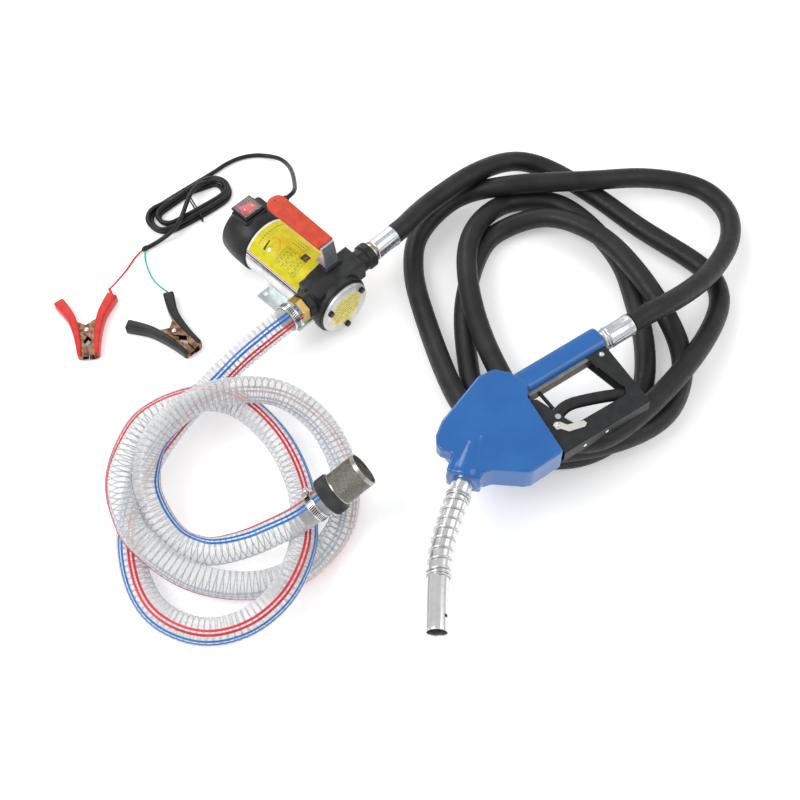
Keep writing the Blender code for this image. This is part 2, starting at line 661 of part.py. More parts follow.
HEAD_OUTLINE = [
    (2.5, -12), (-4.5, 13.5), (-17, 26.5), (-37, 29.7), (-84.5, 12.5), (-105.5, 3),
    (-117, -6), (-115, -27.5), (-138.5, -48.5), (-117, -81), (-99, -74.5), (-68.5, -100),
    (-62, -103), (-18, -101.5), (-8.4, -25),
]
SPOUT_ROUTE = [
    (-113, -52.5, 0), (-129, -65.3, 0), (-145, -78, 0), (-167, -94.4, 0), (-195, -118, 0),
    (-212.7, -138, 0), (-230, -160.5, 0), (-252.8, -191.3, 0),
]
LEVER_ROUTE = [
    (5, -61.5, 0), (8, -57.8, 0), (14.4, -54, 0), (23.7, -52, 0), (34, -53, 0), (46.4, -57, 0),
    (63.5, -63.6, 0), (82, -72, 0), (92, -76.3, 0),
]
LEVER_R = (7.4, 5.6)            # half its width across the pull, and half its height


def along_barrel(bm, y=BORE_Y):
    return moved(bm, (0, y, 0), ALONG_X)


def nozzle():
    home = frame_at("nozzle", NOZZLE_AT, NOZZLE_TURN)
    spout_start, spout_next = (Vector(p) for p in SPOUT_ROUTE[:2])
    spout_turn = (spout_next - spout_start).to_track_quat("Z", "Y").to_matrix().to_4x4()
    nozzle_cover(home, spout_start, spout_turn)
    nozzle_body(home, spout_start, spout_turn)
    hand_guard(home)
    lever_and_latch(home)
    spout_and_spring(home)
    hose_end(home)


def nozzle_cover(home, spout_start, spout_turn):
    head = rounded_prism(HEAD_OUTLINE, -18.3, 18.3, 4.5)
    loops = []
    for x in (-14, 111.5, BARREL_END):
        shrink = 1.5 if x == BARREL_END else 0
        loop = []
        for k, (sy, sz) in enumerate([(1, 1), (-1, 1), (-1, -1), (1, -1)]):
            for a in (0, 30, 60, 90):
                turn = math.radians(90 * k + a)
                loop.append((x, -0.1 + sy * 3.9 + (9 - shrink) * math.cos(turn),
                             sz * 5.8 + (9 - shrink) * math.sin(turn)))
        loops.append(loop)
    outer = union(head, loft(loops))
    hollow = prism(inset_outline(HEAD_OUTLINE, 2.6), -15.5, 15.5)
    core = along_barrel(rod(10, -30, 130))
    slot = block((-4, -40, -7.4), (130, -10, 7.4))
    neck = moved(rod(16.6, -20, 40), spout_start, spout_turn)
    place("nozzle_cover", cut(outer, hollow, core, slot, neck),
          material("cover_blue", (0.02, 0.12, 0.55), 0.25), home)


def nozzle_body(home, spout_start, spout_turn):
    block_part = prism(inset_outline(HEAD_OUTLINE, 3.2), -14.9, 14.9)
    core = along_barrel(rod(9.6, -30, BARREL_END - GAP))
    strip = block((-3.4, -21, -7), (BARREL_END - GAP, -8, 7))
    lug = block((90, -29.5, -7), (105, -15, 7))
    socket = moved(rod(16.2, -15, 18), spout_start, spout_turn)
    bore = along_barrel(rod(6.5, -40, 130))
    way = moved(rod(6.5, -85, 10, 20), spout_start, spout_turn)
    spout_seat = moved(rod(SPOUT_R + GAP, -1, 30, 28), spout_start, spout_turn)
    stem_hole = moved(rod(2.8, -30, -4, 14), (STEM_X, 0, 0), ALONG_Y)
    guard_tap = moved(rod(2.4, -20, 20, 12), (98, -24, 0))
    place("nozzle_body", cut(union(block_part, core, strip, lug, socket), bore, way, spout_seat,
                             stem_hole, guard_tap),
          material("casting_grey", (0.4, 0.38, 0.36), 0.55, 0.7), home)


def hand_guard(home):
    wall = [(82, -16.5), (109.8, -16.5), (104, -104), (-17.6, -103), (-7.2, -26), (0, -30),
            (12, -70), (16, -79.5), (87.5, -81.5), (92.4, -73.5)]
    inner = [(-60, -5), (125, -5), (125, -21.6), (107.6, -21.6), (102.4, -102.4), (-60, -101.4)]
    half = GUARD_HALF
    guard = prism(wall[::-1], -half, half)
    channel = prism(inner, -half + GUARD_WALL, half - GUARD_WALL)
    holes = [moved(rod(r, -20, 20, 14), (x, y, 0))
             for r, (x, y) in ((2.4, LEVER_PIVOT), (2.4, (98, -24)))]
    latch_hole = moved(rod(2.4, 5, 20, 14), (*LATCH_PIVOT, 0))
    place("hand_guard", cut(guard, channel, *holes, latch_hole),
          material("guard_black", (0.03,) * 3, 0.45), home)
    silver = material("rivet_silver", (0.7, 0.7, 0.7), 0.3, 1.0)
    top = half + GAP
    screw = turned([(0, -top - 2), (3.6, -top - 2), (3.6, -top), (2.0, -top), (2.0, top),
                    (3.6, top), (3.2, top + 1.6), (0, top + 2)], 14)
    place("guard_screw", moved(screw, (98, -24, 0)), silver, home)
    pin = turned([(0, -top - 1.2), (3.4, -top - 1.2), (3.4, -top), (2.1, -top), (2.1, top),
                  (3.4, top), (3.4, top + 1.2), (0, top + 1.2)], 14)
    place("lever_pin", moved(pin, (*LEVER_PIVOT, 0)), silver, home)


def lever_and_latch(home):
    black = material("lever_black", (0.03,) * 3, 0.5)
    pivot = Vector((*LEVER_PIVOT, 0))
    bar = swept(smooth_route(LEVER_ROUTE, 10), *LEVER_R, 12)
    eye = moved(rod(7.4, -5.6, 5.6, 20), pivot)
    hole = moved(rod(2.5, -20, 20, 16), pivot)
    lever = moved(cut(union(bar, eye), hole), -pivot)
    place("trigger_lever", lever, black, home, LEVER_PIVOT + (0,))

    outline = [(-4.5, -4), (0, -5.5), (5.5, -13.5), (24, -18.5), (28.5, -16), (27.5, -11.5),
               (9, -5.5), (4.5, 2), (0, 4.8), (-4.5, 3)]
    plate = prism(outline, GUARD_HALF + 0.4, GUARD_HALF + 1.9)
    boss = rod(2.0, GUARD_HALF - 1.5, GUARD_HALF + 2.6, 14)
    place("lever_latch", union(plate, boss), material("latch_steel", (0.7, 0.7, 0.68), 0.3, 1.0),
          home, LATCH_PIVOT + (0,))
    stem = moved(rod(2.2, STEM_END, -9, 14), turn=ALONG_Y)
    place("valve_stem", stem, material("stem_steel", (0.55,) * 3, 0.3, 1.0), home,
          (STEM_X, 0, 0))


def spout_and_spring(home):
    path = smooth_route(SPOUT_ROUTE, 14)
    outer = swept(path, SPOUT_R, SPOUT_R, 16)
    longer = [path[0] * 2 - path[1], *path[1:-1], path[-1] * 2 - path[-2]]
    inner = swept(longer, SPOUT_R - SPOUT_WALL, SPOUT_R - SPOUT_WALL, 16)
    place("spout", cut(outer, inner), material("spout_aluminium", (0.75, 0.76, 0.77), 0.25, 1.0),
          home)
    fine = smooth_route(SPOUT_ROUTE, 1.0)
    first, last = 36, 137
    wire_r = 1.1
    coil_r = SPOUT_R + 0.5 + wire_r
    sides = flat_frames(fine)
    closed = 2.55                       # advance per turn in the closed end coils
    open_pitch = 12.0
    turns_each_end = 1.8
    middle_turns = (last - first - 2 * closed * turns_each_end) / open_pitch
    total = middle_turns + 2 * turns_each_end
    per_turn = 12
    steps = round(total * per_turn)
    points = []
    for i in range(steps + 1):
        turn = total * i / steps
        early = min(turn, turns_each_end)
        late = max(0.0, turn - turns_each_end - middle_turns)
        run = first + closed * (early + late) + open_pitch * (turn - early - late)
        k = min(int(run), len(fine) - 2)
        centre = fine[k].lerp(fine[k + 1], run - k)
        angle = 2 * math.pi * turn
        points.append(centre + sides[k] * coil_r * math.cos(angle)
                      + Vector((0, 0, coil_r * math.sin(angle))))
    curve_tube("spout_spring", points, 2 * wire_r, material("spring_steel", (0.7,) * 3, 0.25, 1.0),
               1, home)


def hose_end(home):
    zinc = material("swivel_zinc", (0.62, 0.64, 0.66), 0.3, 1.0)
    swivel = turned([(7, BARREL_END + GAP), (11.6, BARREL_END + GAP), (11.6, 117), (12.8, 118),
                     (12.8, 120), (7, 120)], 20)
    place("nozzle_swivel", along_barrel(swivel), zinc, home)
    ferrule = turned([(8, 120.3), (12.8, 120.3), (13.7, 122), (13.7, 128), (13.2, 134),
                      (13.0, 153), (13.7, 155.5), (13.7, 157), (8, 157)], 20)
    place("nozzle_ferrule", along_barrel(ferrule), zinc, home)


# ---------------------------------------------------------------- strainer

def strainer():
    home = frame_at("strainer", STRAINER_AT, STRAINER_TURN, STRAINER_PITCH)
    clamp("strainer_clamp", home, (-19, 0, 0), 1, 125)
    black = material("collar_black", (0.03,) * 3, 0.5)
    collar = turned([(7, 0), (21.5, 0), (23.4, 1.5), (23.4, 14.5), (21.5, 16), (18.3, 16),
                     (18.3, 4), (7, 4)], 28)
    place("strainer_collar", moved(collar, turn=ALONG_X), black, home)
    mesh = ring(18.2, 20.0, 16.3, 54, 28)
    place("strainer_mesh", moved(mesh, turn=ALONG_X), material("mesh_steel", (0.45, 0.44, 0.42), 0.45,
                                                             0.9), home)


# ---------------------------------------------------------------- cords

def stadium(radius, steps):
    """An anticlockwise outline around the hank's two centres."""
    left, right = (Vector(c) for c in HANK_CENTRES)
    lean = math.atan2(right.y - left.y, right.x - left.x)
    outline = []
    for centre, start in ((right, -90), (left, 90)):
        for i in range(steps + 1):
            a = lean + math.radians(start + 180 * i / steps)
            outline.append((centre.x + radius * math.cos(a), centre.y + radius * math.sin(a)))
    return outline


def cords():
    rubber = material("hose_black", (0.02,) * 3, 0.6)
    curve_tube("delivery_hose", tube_points(DELIVERY_ROUTE, 2 * DELIVERY_D, (8, 18)), DELIVERY_D,
               rubber, 2)
    clear = material("hose_clear", (0.8, 0.82, 0.84), 0.15)
    curve_tube("suction_hose", tube_points(SUCTION_ROUTE, 1.5 * SUCTION_D, (9, 18)), SUCTION_D,
               clear, 2)
    black = material("cable_black", (0.02,) * 3, 0.5)
    curve_tube("power_cable", tube_points(CABLE_ROUTE, 2 * CABLE_D, (3,)), CABLE_D, black, 2)
    hank = cut(prism(stadium(HANK_OUTER_R, 12), 0.3, HANK_TOP),
               prism(stadium(HANK_INNER_R, 8), -2, HANK_TOP + 2))
    place("cable_hank", hank, black)
    curve_tube("cable_tail", smooth_route(TAIL_ROUTE, 2 * CABLE_D), CABLE_D, black, 2)
    curve_tube("red_wire", smooth_route(RED_WIRE_ROUTE, 3 * WIRE_D), WIRE_D,
               material("wire_red", (0.7, 0.03, 0.03), 0.4), 2)
    curve_tube("green_wire", smooth_route(GREEN_WIRE_ROUTE, 3 * WIRE_D), WIRE_D,
               material("wire_green", (0.05, 0.5, 0.4), 0.4), 2)


# ---------------------------------------------------------------- clips

JAW_EAR = [(-17, 14), (-8, -0.5), (-3, -4.5), (4, -4.5), (9, 0.5), (16, 5.5), (24, 0.5), (38, 0.5),
           (38, 8.5), (6, 11)]
JAW_SPINE = [(-40, 28.5), (-22, 18.5), (6, 11), (37, 8.5)]
JAW_HOLLOW = [(-70, -8), (60, -8), (60, 5.9), (37, 7.1), (6, 9.4), (-22, 16.9), (-70, 44)]
GRIP_SPINE = [(-51, 34), (-38, 26.5), (-22, 18.6), (6, 12.6), (36.5, 10.6)]
GRIP_WIDTHS = [14, 13, 11, 8.6, 5.4]


def on_side(outline, side):
    """An anticlockwise outline, mirrored in Y for side -1 and kept anticlockwise."""
    points = [(x, y * side) for x, y in outline]
    return points if side > 0 else points[::-1]


def clip_arm(home, label, side, level, sleeve_mat, metal_mat):
    """A copper channel in a plastic sleeve. level insets the ears of the arm
    whose ears lie between the other's."""
    low, high = 1.8 + level, 12.8 - level
    shaft = prism(on_side(strip_outline(JAW_SPINE, 5), side), low, high)
    ears = prism(on_side(JAW_EAR, side), low, high)
    hollow = prism(on_side(JAW_HOLLOW, side), low + 1.2, high - 1.2)
    metal = cut(union(shaft, ears), hollow)
    if level:
        metal = cut(metal, rod(2.2, -5, 30, 12))
    else:
        metal = union(metal, rod(1.8, low - 0.8, high + 0.8, 12))
    place(f"{label}_jaw", metal, metal_mat, home)

    sleeve = prism(on_side(strip_outline(GRIP_SPINE, GRIP_WIDTHS), side), 0.3, CLIP_TOP)
    longer = [(-41, 29.1), *JAW_SPINE[1:3], (45, 7.8)]
    room = prism(on_side(strip_outline(longer, 5.6), side), low - GAP, high + GAP)
    ear_room = prism(on_side(inset_outline(JAW_EAR, -GAP), side), low - GAP, high + GAP)
    place(f"{label}_sleeve", cut(sleeve, room, ear_room), sleeve_mat, home)


def clips():
    copper = material("jaw_copper", (0.55, 0.32, 0.2), 0.35, 1.0)
    red = material("clip_red", (0.75, 0.05, 0.04), 0.4)
    black = material("clip_black", (0.03,) * 3, 0.45)
    for colour, (at, turn), mat in (("red", RED_CLIP, red), ("black", BLACK_CLIP, black)):
        home = frame_at(f"{colour}_clip", at, turn)
        clip_arm(home, f"{colour}_clip_fixed", 1, 0.0, mat, copper)
        clip_arm(home, f"{colour}_clip_moving", -1, 1.6, mat, copper)


def build():
    for obj in list(bpy.data.objects):
        bpy.data.objects.remove(obj)
    motor()
    motor_insides()
    pump_head()
    pump_cover()
    pump_rotor()
    bypass_valve()
    inlet_side()
    outlet_side()
    handle()
    mounting_foot()
    nozzle()
    strainer()
    cords()
    clips()


build()
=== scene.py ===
import math

import bmesh
import bpy
from mathutils import Matrix, Vector


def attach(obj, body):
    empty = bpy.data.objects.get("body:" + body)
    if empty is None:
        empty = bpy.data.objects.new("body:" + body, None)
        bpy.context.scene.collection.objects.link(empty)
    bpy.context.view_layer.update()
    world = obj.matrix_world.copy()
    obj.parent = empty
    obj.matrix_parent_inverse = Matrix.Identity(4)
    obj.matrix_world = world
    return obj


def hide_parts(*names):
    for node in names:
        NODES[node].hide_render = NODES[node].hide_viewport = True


# Looks of a fluid transfer pump with its hoses, nozzle, strainer, cable and clips.
# Lengths below are in millimetres and become metres where a mesh is made.

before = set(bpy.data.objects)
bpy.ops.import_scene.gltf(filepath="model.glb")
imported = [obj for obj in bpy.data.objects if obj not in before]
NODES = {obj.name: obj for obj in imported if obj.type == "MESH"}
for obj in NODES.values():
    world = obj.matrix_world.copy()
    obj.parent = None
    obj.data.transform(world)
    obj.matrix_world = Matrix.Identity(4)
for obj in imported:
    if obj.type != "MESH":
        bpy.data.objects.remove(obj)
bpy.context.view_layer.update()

MM = 0.001
PUMP = "pump"
AXIS_Z = 46.0
PORT_Y, PORT_Z = -51.5, 66.0
SHELL_R, SHELL_FRONT, SHELL_REAR = 37.0, -29.7, 62.7
COVER_FRONT, CAP_REAR = -80.0, 110.5


def placed(x, y, z):
    return Matrix.Translation((x, y, z))


def spun(degrees, axis):
    return Matrix.Rotation(math.radians(degrees), 4, axis)


def pointing(direction):
    """A turn that points Z in a direction."""
    return direction.to_track_quat("Z", "Y").to_matrix().to_4x4()


# The first two lay a piece that is turned about Z along X or Y. The others are the frames
# that the sub-parts are made in.
ALONG_X, ALONG_Y = spun(90, "Y"), spun(-90, "X")
ON_MOTOR = placed(0, 0, AXIS_Z) @ ALONG_Y
PORT = placed(0, PORT_Y, PORT_Z)
NOZZLE = placed(46.6, -319.6, 83) @ spun(-10.83, "Z")
BARREL = NOZZLE @ placed(0, -5, 0) @ ALONG_X
STRAINER = placed(-207.4, -263.5, 74) @ spun(-16, "Z") @ spun(-28, "Y")
CLIPS = {"red": placed(-232, 143, 0) @ spun(-126, "Z"),
         "black": placed(-157, 65, 0) @ spun(-89.3, "Z")}

DELIVERY_D, SUCTION_D, CABLE_D, WIRE_D = 26.0, 31.5, 6.0, 2.2

DELIVERY_ROUTE = [
    (110.8, -51.5, 66), (120, -51.5, 66), (130, -51.5, 65.9), (155, -47, 62.5), (192, -42, 55.5),
    (265, -46, 52), (332, -57, 31), (358, -85, 22), (374, -160, 14), (374, -240, 13.2), (377, -350, 15),
    (354, -385, 18), (301, -410, 28), (200, -430, 47), (107, -433, 59), (62, -421, 60),
    (38, -390, 56), (40, -350, 47), (52, -308, 41), (93, -221, 35), (138, -155, 39),
    (182, -114, 37), (226, -95, 31), (284, -92, 15), (327, -131, 13.2), (333, -180, 13.2),
    (314, -257, 13.2), (281, -307, 13.2), (236, -361, 13.2), (181, -403, 13.2),
    (114, -423, 13.2), (57, -407, 13.2), (17, -364, 13.2), (9, -325, 13.2), (36, -262, 13.2),
    (60, -230, 13.2), (122, -165, 13.2), (199, -120, 13.2), (237, -115, 14), (295, -147, 24),
    (312, -219, 36), (296, -302, 38), (269, -382, 20), (239, -418, 15), (184, -444, 21),
    (136, -445, 29), (72, -421, 36.5), (11, -371, 36.5), (-1, -344, 37), (0, -295, 35),
    (11, -256, 27), (77, -138, 15), (118, -80, 13.2), (164, -45, 14), (239, -41, 21),
    (289, -84, 39), (372, -156, 39), (442, -202, 24), (480, -259, 18), (469, -308, 21),
    (426, -343, 30), (352, -363, 47), (280, -366, 70), (243, -362.2, 81), (225, -358.9, 83),
    (212, -356.4, 83), (201.6, -354.4, 83),
]
SUCTION_ROUTE = [
    (-56.7, -51.5, 66), (-66, -51.5, 66), (-76, -51.4, 65.6), (-104, -45, 54), (-145, -35, 33),
    (-190, -33.5, 19), (-230, -37, 16), (-297, -58, 16), (-348, -89, 16), (-393, -142, 16),
    (-414, -208, 16.5), (-394, -264, 20), (-354, -293, 28), (-308, -298, 38), (-267, -283, 45),
    (-230, -248, 21),
    (-201, -212, 18), (-179, -158, 22), (-175, -108, 29), (-182, -78, 34), (-208, -50, 43),
    (-274, -30, 46), (-320, -49, 45), (-350, -75, 46), (-372, -120, 47), (-376, -140, 45),
    (-362, -208, 27), (-312, -266, 16.5), (-256, -285, 16), (-207, -279, 16),
    (-174, -258, 16), (-144, -221, 17), (-127, -168, 27), (-136, -122, 44), (-159, -97, 58),
    (-217, -65, 70), (-285, -63, 61), (-323, -90, 48), (-337, -113, 42), (-345, -163, 27),
    (-333, -192, 25), (-320, -208, 29), (-291, -231, 42.5), (-268, -243.5, 51.5),
    (-252, -250, 54.8), (-240, -253.9, 57.7), (-230.3, -256.9, 61.4), (-222.7, -259.1, 65.5),
    (-215, -261.3, 69.8), (-208, -263.3, 73.7),
]
LEAD_ROUTE = [
    (62.6, 91, 60), (67, 91.1, 60), (79, 96.5, 55), (94, 113.3, 44), (111.9, 138.1, 30),
    (124.5, 162, 17), (129.2, 186.3, 7.5), (122.5, 204.8, 3.3), (112, 216.6, 3.2),
    (96, 226.5, 3.2), (79, 231.2, 3.2), (62, 232.8, 3.2), (45.5, 231.6, 3.2),
]
TAIL_ROUTE = [
    (18, 221, 16.2), (6, 219, 16.2), (-5, 213.8, 16.1), (-15, 207.5, 16), (-29, 198, 16.2),
    (-43, 190.5, 16.3), (-57, 187.5, 13.5), (-71, 190.5, 8), (-83, 194.5, 4), (-94, 197, 3.2),
]
RED_WIRE_ROUTE = [
    (-97.5, 198.5, 3), (-112, 197, 1.6), (-132, 189.5, 1.6), (-152, 182.5, 3.5),
    (-170.5, 176.5, 7),
]
GREEN_WIRE_ROUTE = [
    (-97.6, 195.2, 3), (-106.6, 184.4, 1.6), (-114.3, 169.1, 1.6), (-120, 152.5, 1.6),
    (-122, 137, 4), (-121.8, 121.5, 7),
]
BOOT_ROUTE = [(-174.6, 166, 7), (-172.6, 171, 7), (-170.5, 177, 7)]
TIE_ROUTE = [
    (3, 237, 6), (2.4, 234, 11.5), (1, 226, 12.6), (-5, 205, 12.4), (-11, 184, 12.4),
    (-13, 178.5, 8), (-12.6, 180, 1.5), (-8, 196, 1), (-2, 216, 1), (2, 233, 1.2), (3, 237, 5),
]
HANK_CENTRES = (Vector((-42.0, 216.5)), Vector((27.0, 207.0)))
# Each turn of the hank: its radius, its height, and how far its two ends reach out
HANK_TURNS = [(24, 3.2, 0, 0), (18, 3.2, 3, -3), (12, 3.2, -2, 4), (21, 8.8, 5, 2),
              (15, 8.8, -3, 5)]


# ---------------- materials

class Look:
    """A Principled material and the nodes that feed it."""

    def __init__(self, name, colour, roughness, metallic=0.0, edge=0.0, **sockets):
        self.mat = bpy.data.materials.new(name)
        self.mat.use_nodes = True
        self.tree = self.mat.node_tree
        self.shader = self.tree.nodes["Principled BSDF"]
        values = {"Base Color": (*colour, 1.0), "Roughness": roughness, "Metallic": metallic}
        for key, value in {**values, **sockets}.items():
            self.shader.inputs[key].default_value = value
        self.normal = None
        if edge:
            self.normal = self.node("Bevel", {"Radius": edge * MM}, samples=4).outputs[0]
            self.tree.links.new(self.normal, self.shader.inputs["Normal"])
        self.spot = self.node("TexCoord").outputs["Object"]

    def node(self, kind, inputs=None, **settings):
        made = self.tree.nodes.new("ShaderNode" + kind)
        for key, value in settings.items():
            setattr(made, key, value)
        for key, value in (inputs or {}).items():
            if isinstance(value, bpy.types.NodeSocket):
                self.tree.links.new(value, made.inputs[key])
            else:
                made.inputs[key].default_value = value
        return made

    def feed(self, socket, value):
        self.tree.links.new(value, self.shader.inputs[socket])
        return self

    def noise(self, scale, detail=3.0, stretch=None):
        spot = self.spot
        if stretch:
            spot = self.node("Mapping", {"Vector": spot, "Scale": stretch}).outputs[0]
        return self.node("TexNoise", {"Vector": spot, "Scale": scale, "Detail": detail}).outputs[0]

    def math(self, operation, a, b=0.0):
        return self.node("Math", {0: a, 1: b}, operation=operation).outputs[0]

    def span(self, value, low, high, to_low, to_high):
        return self.node("MapRange", {0: value, 1: low, 2: high, 3: to_low, 4: to_high}).outputs[0]

    def mix(self, factor, a, b):
        pair = {0: factor, 6: a if isinstance(a, bpy.types.NodeSocket) else (*a, 1.0),
                7: b if isinstance(b, bpy.types.NodeSocket) else (*b, 1.0)}
        return self.node("Mix", pair, data_type="RGBA").outputs[2]

    def bump(self, height, strength, depth):
        """Adds relief of a depth in millimetres on top of what is there."""
        inputs = {"Height": height, "Strength": strength, "Distance": depth * MM}
        if self.normal:
            inputs["Normal"] = self.normal
        self.normal = self.node("Bump", inputs).outputs[0]
        return self.feed("Normal", self.normal)

    def mottle(self, scale, a, b, low=0.35, high=0.65, stretch=None):
        patches = self.span(self.noise(scale, 4.0, stretch), low, high, 0.0, 1.0)
        return self.feed("Base Color", self.mix(patches, a, b))

    def uneven_gloss(self, scale, low, high, stretch=None):
        value = self.noise(scale, 3.0, stretch)
        return self.feed("Roughness", self.span(value, 0.3, 0.7, low, high))


def plated(name, light, dark, roughness=0.3, scale=60.0, edge=0.4):
    """Zinc or steel plate with soft patches of tone and fine scratches."""
    look = Look(name, light, roughness, 0.95, edge)
    look.mottle(scale, light, dark)
    look.uneven_gloss(scale * 3, roughness * 0.75, roughness * 1.35)
    return look.bump(look.noise(1800, 2.0, (1, 0.08, 1)), 0.06, 0.05)


def moulded(name, colour, roughness, grain=1600.0, depth=0.06, edge=0.4):
    """Moulded plastic with a fine grain and faint changes in tone."""
    look = Look(name, colour, roughness, 0.0, edge, **{"Specular IOR Level": 0.28})
    paler = tuple(min(1.0, c * 1.25 + 0.004) for c in colour)
    look.mottle(90, colour, paler)
    look.uneven_gloss(220, roughness * 0.85, roughness * 1.2)
    return look.bump(look.noise(grain, 3.0), 0.35, depth)


# Looks of plastic, rubber and paint: material, colour, roughness, the grain's scale, and where
# they aren't the usual ones, the grain's depth and the edges' radius in millimetres
MOULDED = {
    "cap": ("cap_plastic", (0.018, 0.018, 0.019), 0.36, 1400),
    "bezel": ("bezel_plastic", (0.012, 0.012, 0.012), 0.22, 2500, 0.02),
    "rocker": ("rocker_plastic", (0.62, 0.012, 0.012), 0.16, 2500, 0.01),
    "ferrite": ("ferrite", (0.05, 0.05, 0.055), 0.7, 900, 0.1),
    "carbon": ("carbon_vane", (0.04, 0.04, 0.04), 0.5, 1500, 0.05),
    "screw": ("screw_oxide", (0.014, 0.014, 0.015), 0.28, 3000, 0.02, 0.2),
    "sleeve": ("dipped_red", (0.54, 0.055, 0.024), 0.42, 700, 0.12, 0.0),
    "grip_red": ("grip_red", (0.58, 0.03, 0.026), 0.34, 1100, 0.06, 0.5),
    "grip_black": ("grip_black", (0.014, 0.014, 0.016), 0.32, 1100, 0.06, 0.5),
    "guard": ("guard_paint", (0.020, 0.021, 0.022), 0.38, 1300, 0.1, 0.6),
    "lever": ("lever_dip", (0.016, 0.016, 0.017), 0.42, 800, 0.1, 0.3),
    "line_blue": ("line_blue", (0.008, 0.14, 0.46), 0.3, 1200, 0.02, 0.0),
    "line_red": ("line_red", (0.58, 0.03, 0.045), 0.3, 1200, 0.02, 0.0),
    "collar": ("collar_plastic", (0.035, 0.036, 0.038), 0.4, 1200, 0.06, 0.2),
    "helix": ("helix_wire", (0.19, 0.195, 0.20), 0.3, 1200, 0.02, 0.0),
    # dark: near-black, the label's real dark seam, and painted shade in holes, clamp slots and the
    # spout's mouth
    "dark": ("dark_seam_and_painted_hole_shade", (0.008, 0.008, 0.008), 0.7, 900, 0.05, 0.0),
    "cable": ("cable_jacket", (0.014, 0.014, 0.014), 0.32, 900, 0.06, 0.0),
    "wire_red": ("wire_red", (0.50, 0.03, 0.025), 0.36, 1500, 0.04, 0.0),
    "wire_green": ("wire_green", (0.03, 0.42, 0.33), 0.3, 1500, 0.04, 0.0),
    "yellow": ("label_yellow", (0.61, 0.54, 0.012), 0.34, 500, 0.02, 0.0),
    "disc": ("disc_yellow", (0.78, 0.68, 0.17), 0.34, 500, 0.02, 0.0),
    "white": ("label_white", (0.86, 0.86, 0.84), 0.3, 500, 0.02, 0.0),
    "ink": ("label_ink", (0.05, 0.05, 0.03), 0.4, 900, 0.01, 0.0),
    "faint": ("label_faint_ink", (0.20, 0.18, 0.03), 0.4, 900, 0.01, 0.0),
    "maroon": ("label_maroon", (0.25, 0.012, 0.02), 0.35, 900, 0.01, 0.0),
    "orange": ("label_orange", (0.74, 0.24, 0.03), 0.35, 900, 0.01, 0.0),
}
# Looks of plated metal: material, light and dark tone, roughness, and where they aren't the
# usual ones, the patches' scale and the edges' radius in millimetres
PLATED = {
    "shell": ("shell_plate", (0.80, 0.80, 0.79), (0.66, 0.67, 0.68), 0.22),
    "steel": ("machined_steel", (0.62, 0.62, 0.62), (0.5, 0.5, 0.5), 0.25, 200),
    "clamp": ("clamp_steel", (0.72, 0.72, 0.70), (0.56, 0.56, 0.54), 0.2, 150, 0.2),
    "zinc": ("zinc_plate", (0.80, 0.82, 0.84), (0.66, 0.69, 0.72), 0.3, 80),
    "strap": ("strap_plate", (0.66, 0.73, 0.78), (0.50, 0.58, 0.63), 0.34, 130, 0.5),
    "foot": ("foot_plate", (0.76, 0.82, 0.81), (0.62, 0.68, 0.67), 0.38, 60, 0.5),
    "spout": ("spout_aluminium", (0.88, 0.88, 0.88), (0.78, 0.78, 0.79), 0.16, 90, 0.0),
    "spring": ("spring_wire", (0.80, 0.80, 0.80), (0.66, 0.66, 0.67), 0.18, 300, 0.0),
    "mesh": ("mesh_wire", (0.50, 0.49, 0.44), (0.34, 0.33, 0.29), 0.3, 200, 0.0),
    "rivet": ("rivet_steel", (0.86, 0.86, 0.86), (0.74, 0.74, 0.74), 0.2, 400, 0.0),
}
# Looks with patches of two tones: material, colour, roughness, metallic value, edges' radius,
# the patches' scale and tones, and the grain's scale, detail, stretch, strength and depth
PATCHY = {
    "cover": ("cover_paint", (0.74, 0.74, 0.71), 0.36, 0.45, 0.5,
              (110, (0.78, 0.78, 0.75), (0.64, 0.64, 0.62)), (1200, 3.0, None, 0.2, 0.08)),
    "brass": ("brass", (0.56, 0.37, 0.14), 0.3, 1.0, 0.4,
              (120, (0.60, 0.41, 0.16), (0.42, 0.26, 0.09)), (1500, 2.0, (0.1, 1, 1), 0.15, 0.08)),
    "casting": ("casting", (0.34, 0.31, 0.285), 0.5, 0.75, 0.5,
                (160, (0.38, 0.35, 0.32), (0.26, 0.24, 0.22)), (900, 4.0, None, 0.5, 0.2)),
    "copper": ("jaw_copper", (0.30, 0.16, 0.10), 0.36, 1.0, 0.4,
               (140, (0.36, 0.20, 0.13), (0.09, 0.05, 0.035)), (1400, 3.0, None, 0.2, 0.08)),
    "latch": ("latch_plate", (0.80, 0.79, 0.74), 0.38, 0.55, 0.3,
              (60, (0.84, 0.83, 0.78), (0.72, 0.71, 0.66))),
}


def patchy(name, colour, roughness, metallic, edge, patches, grain=None):
    """Paint or bare metal with patches of two tones, and a grain."""
    look = Look(name, colour, roughness, metallic, edge)
    look.mottle(*patches)
    if grain:
        scale, detail, stretch, strength, depth = grain
        look.bump(look.noise(scale, detail, stretch), strength, depth)
    return look


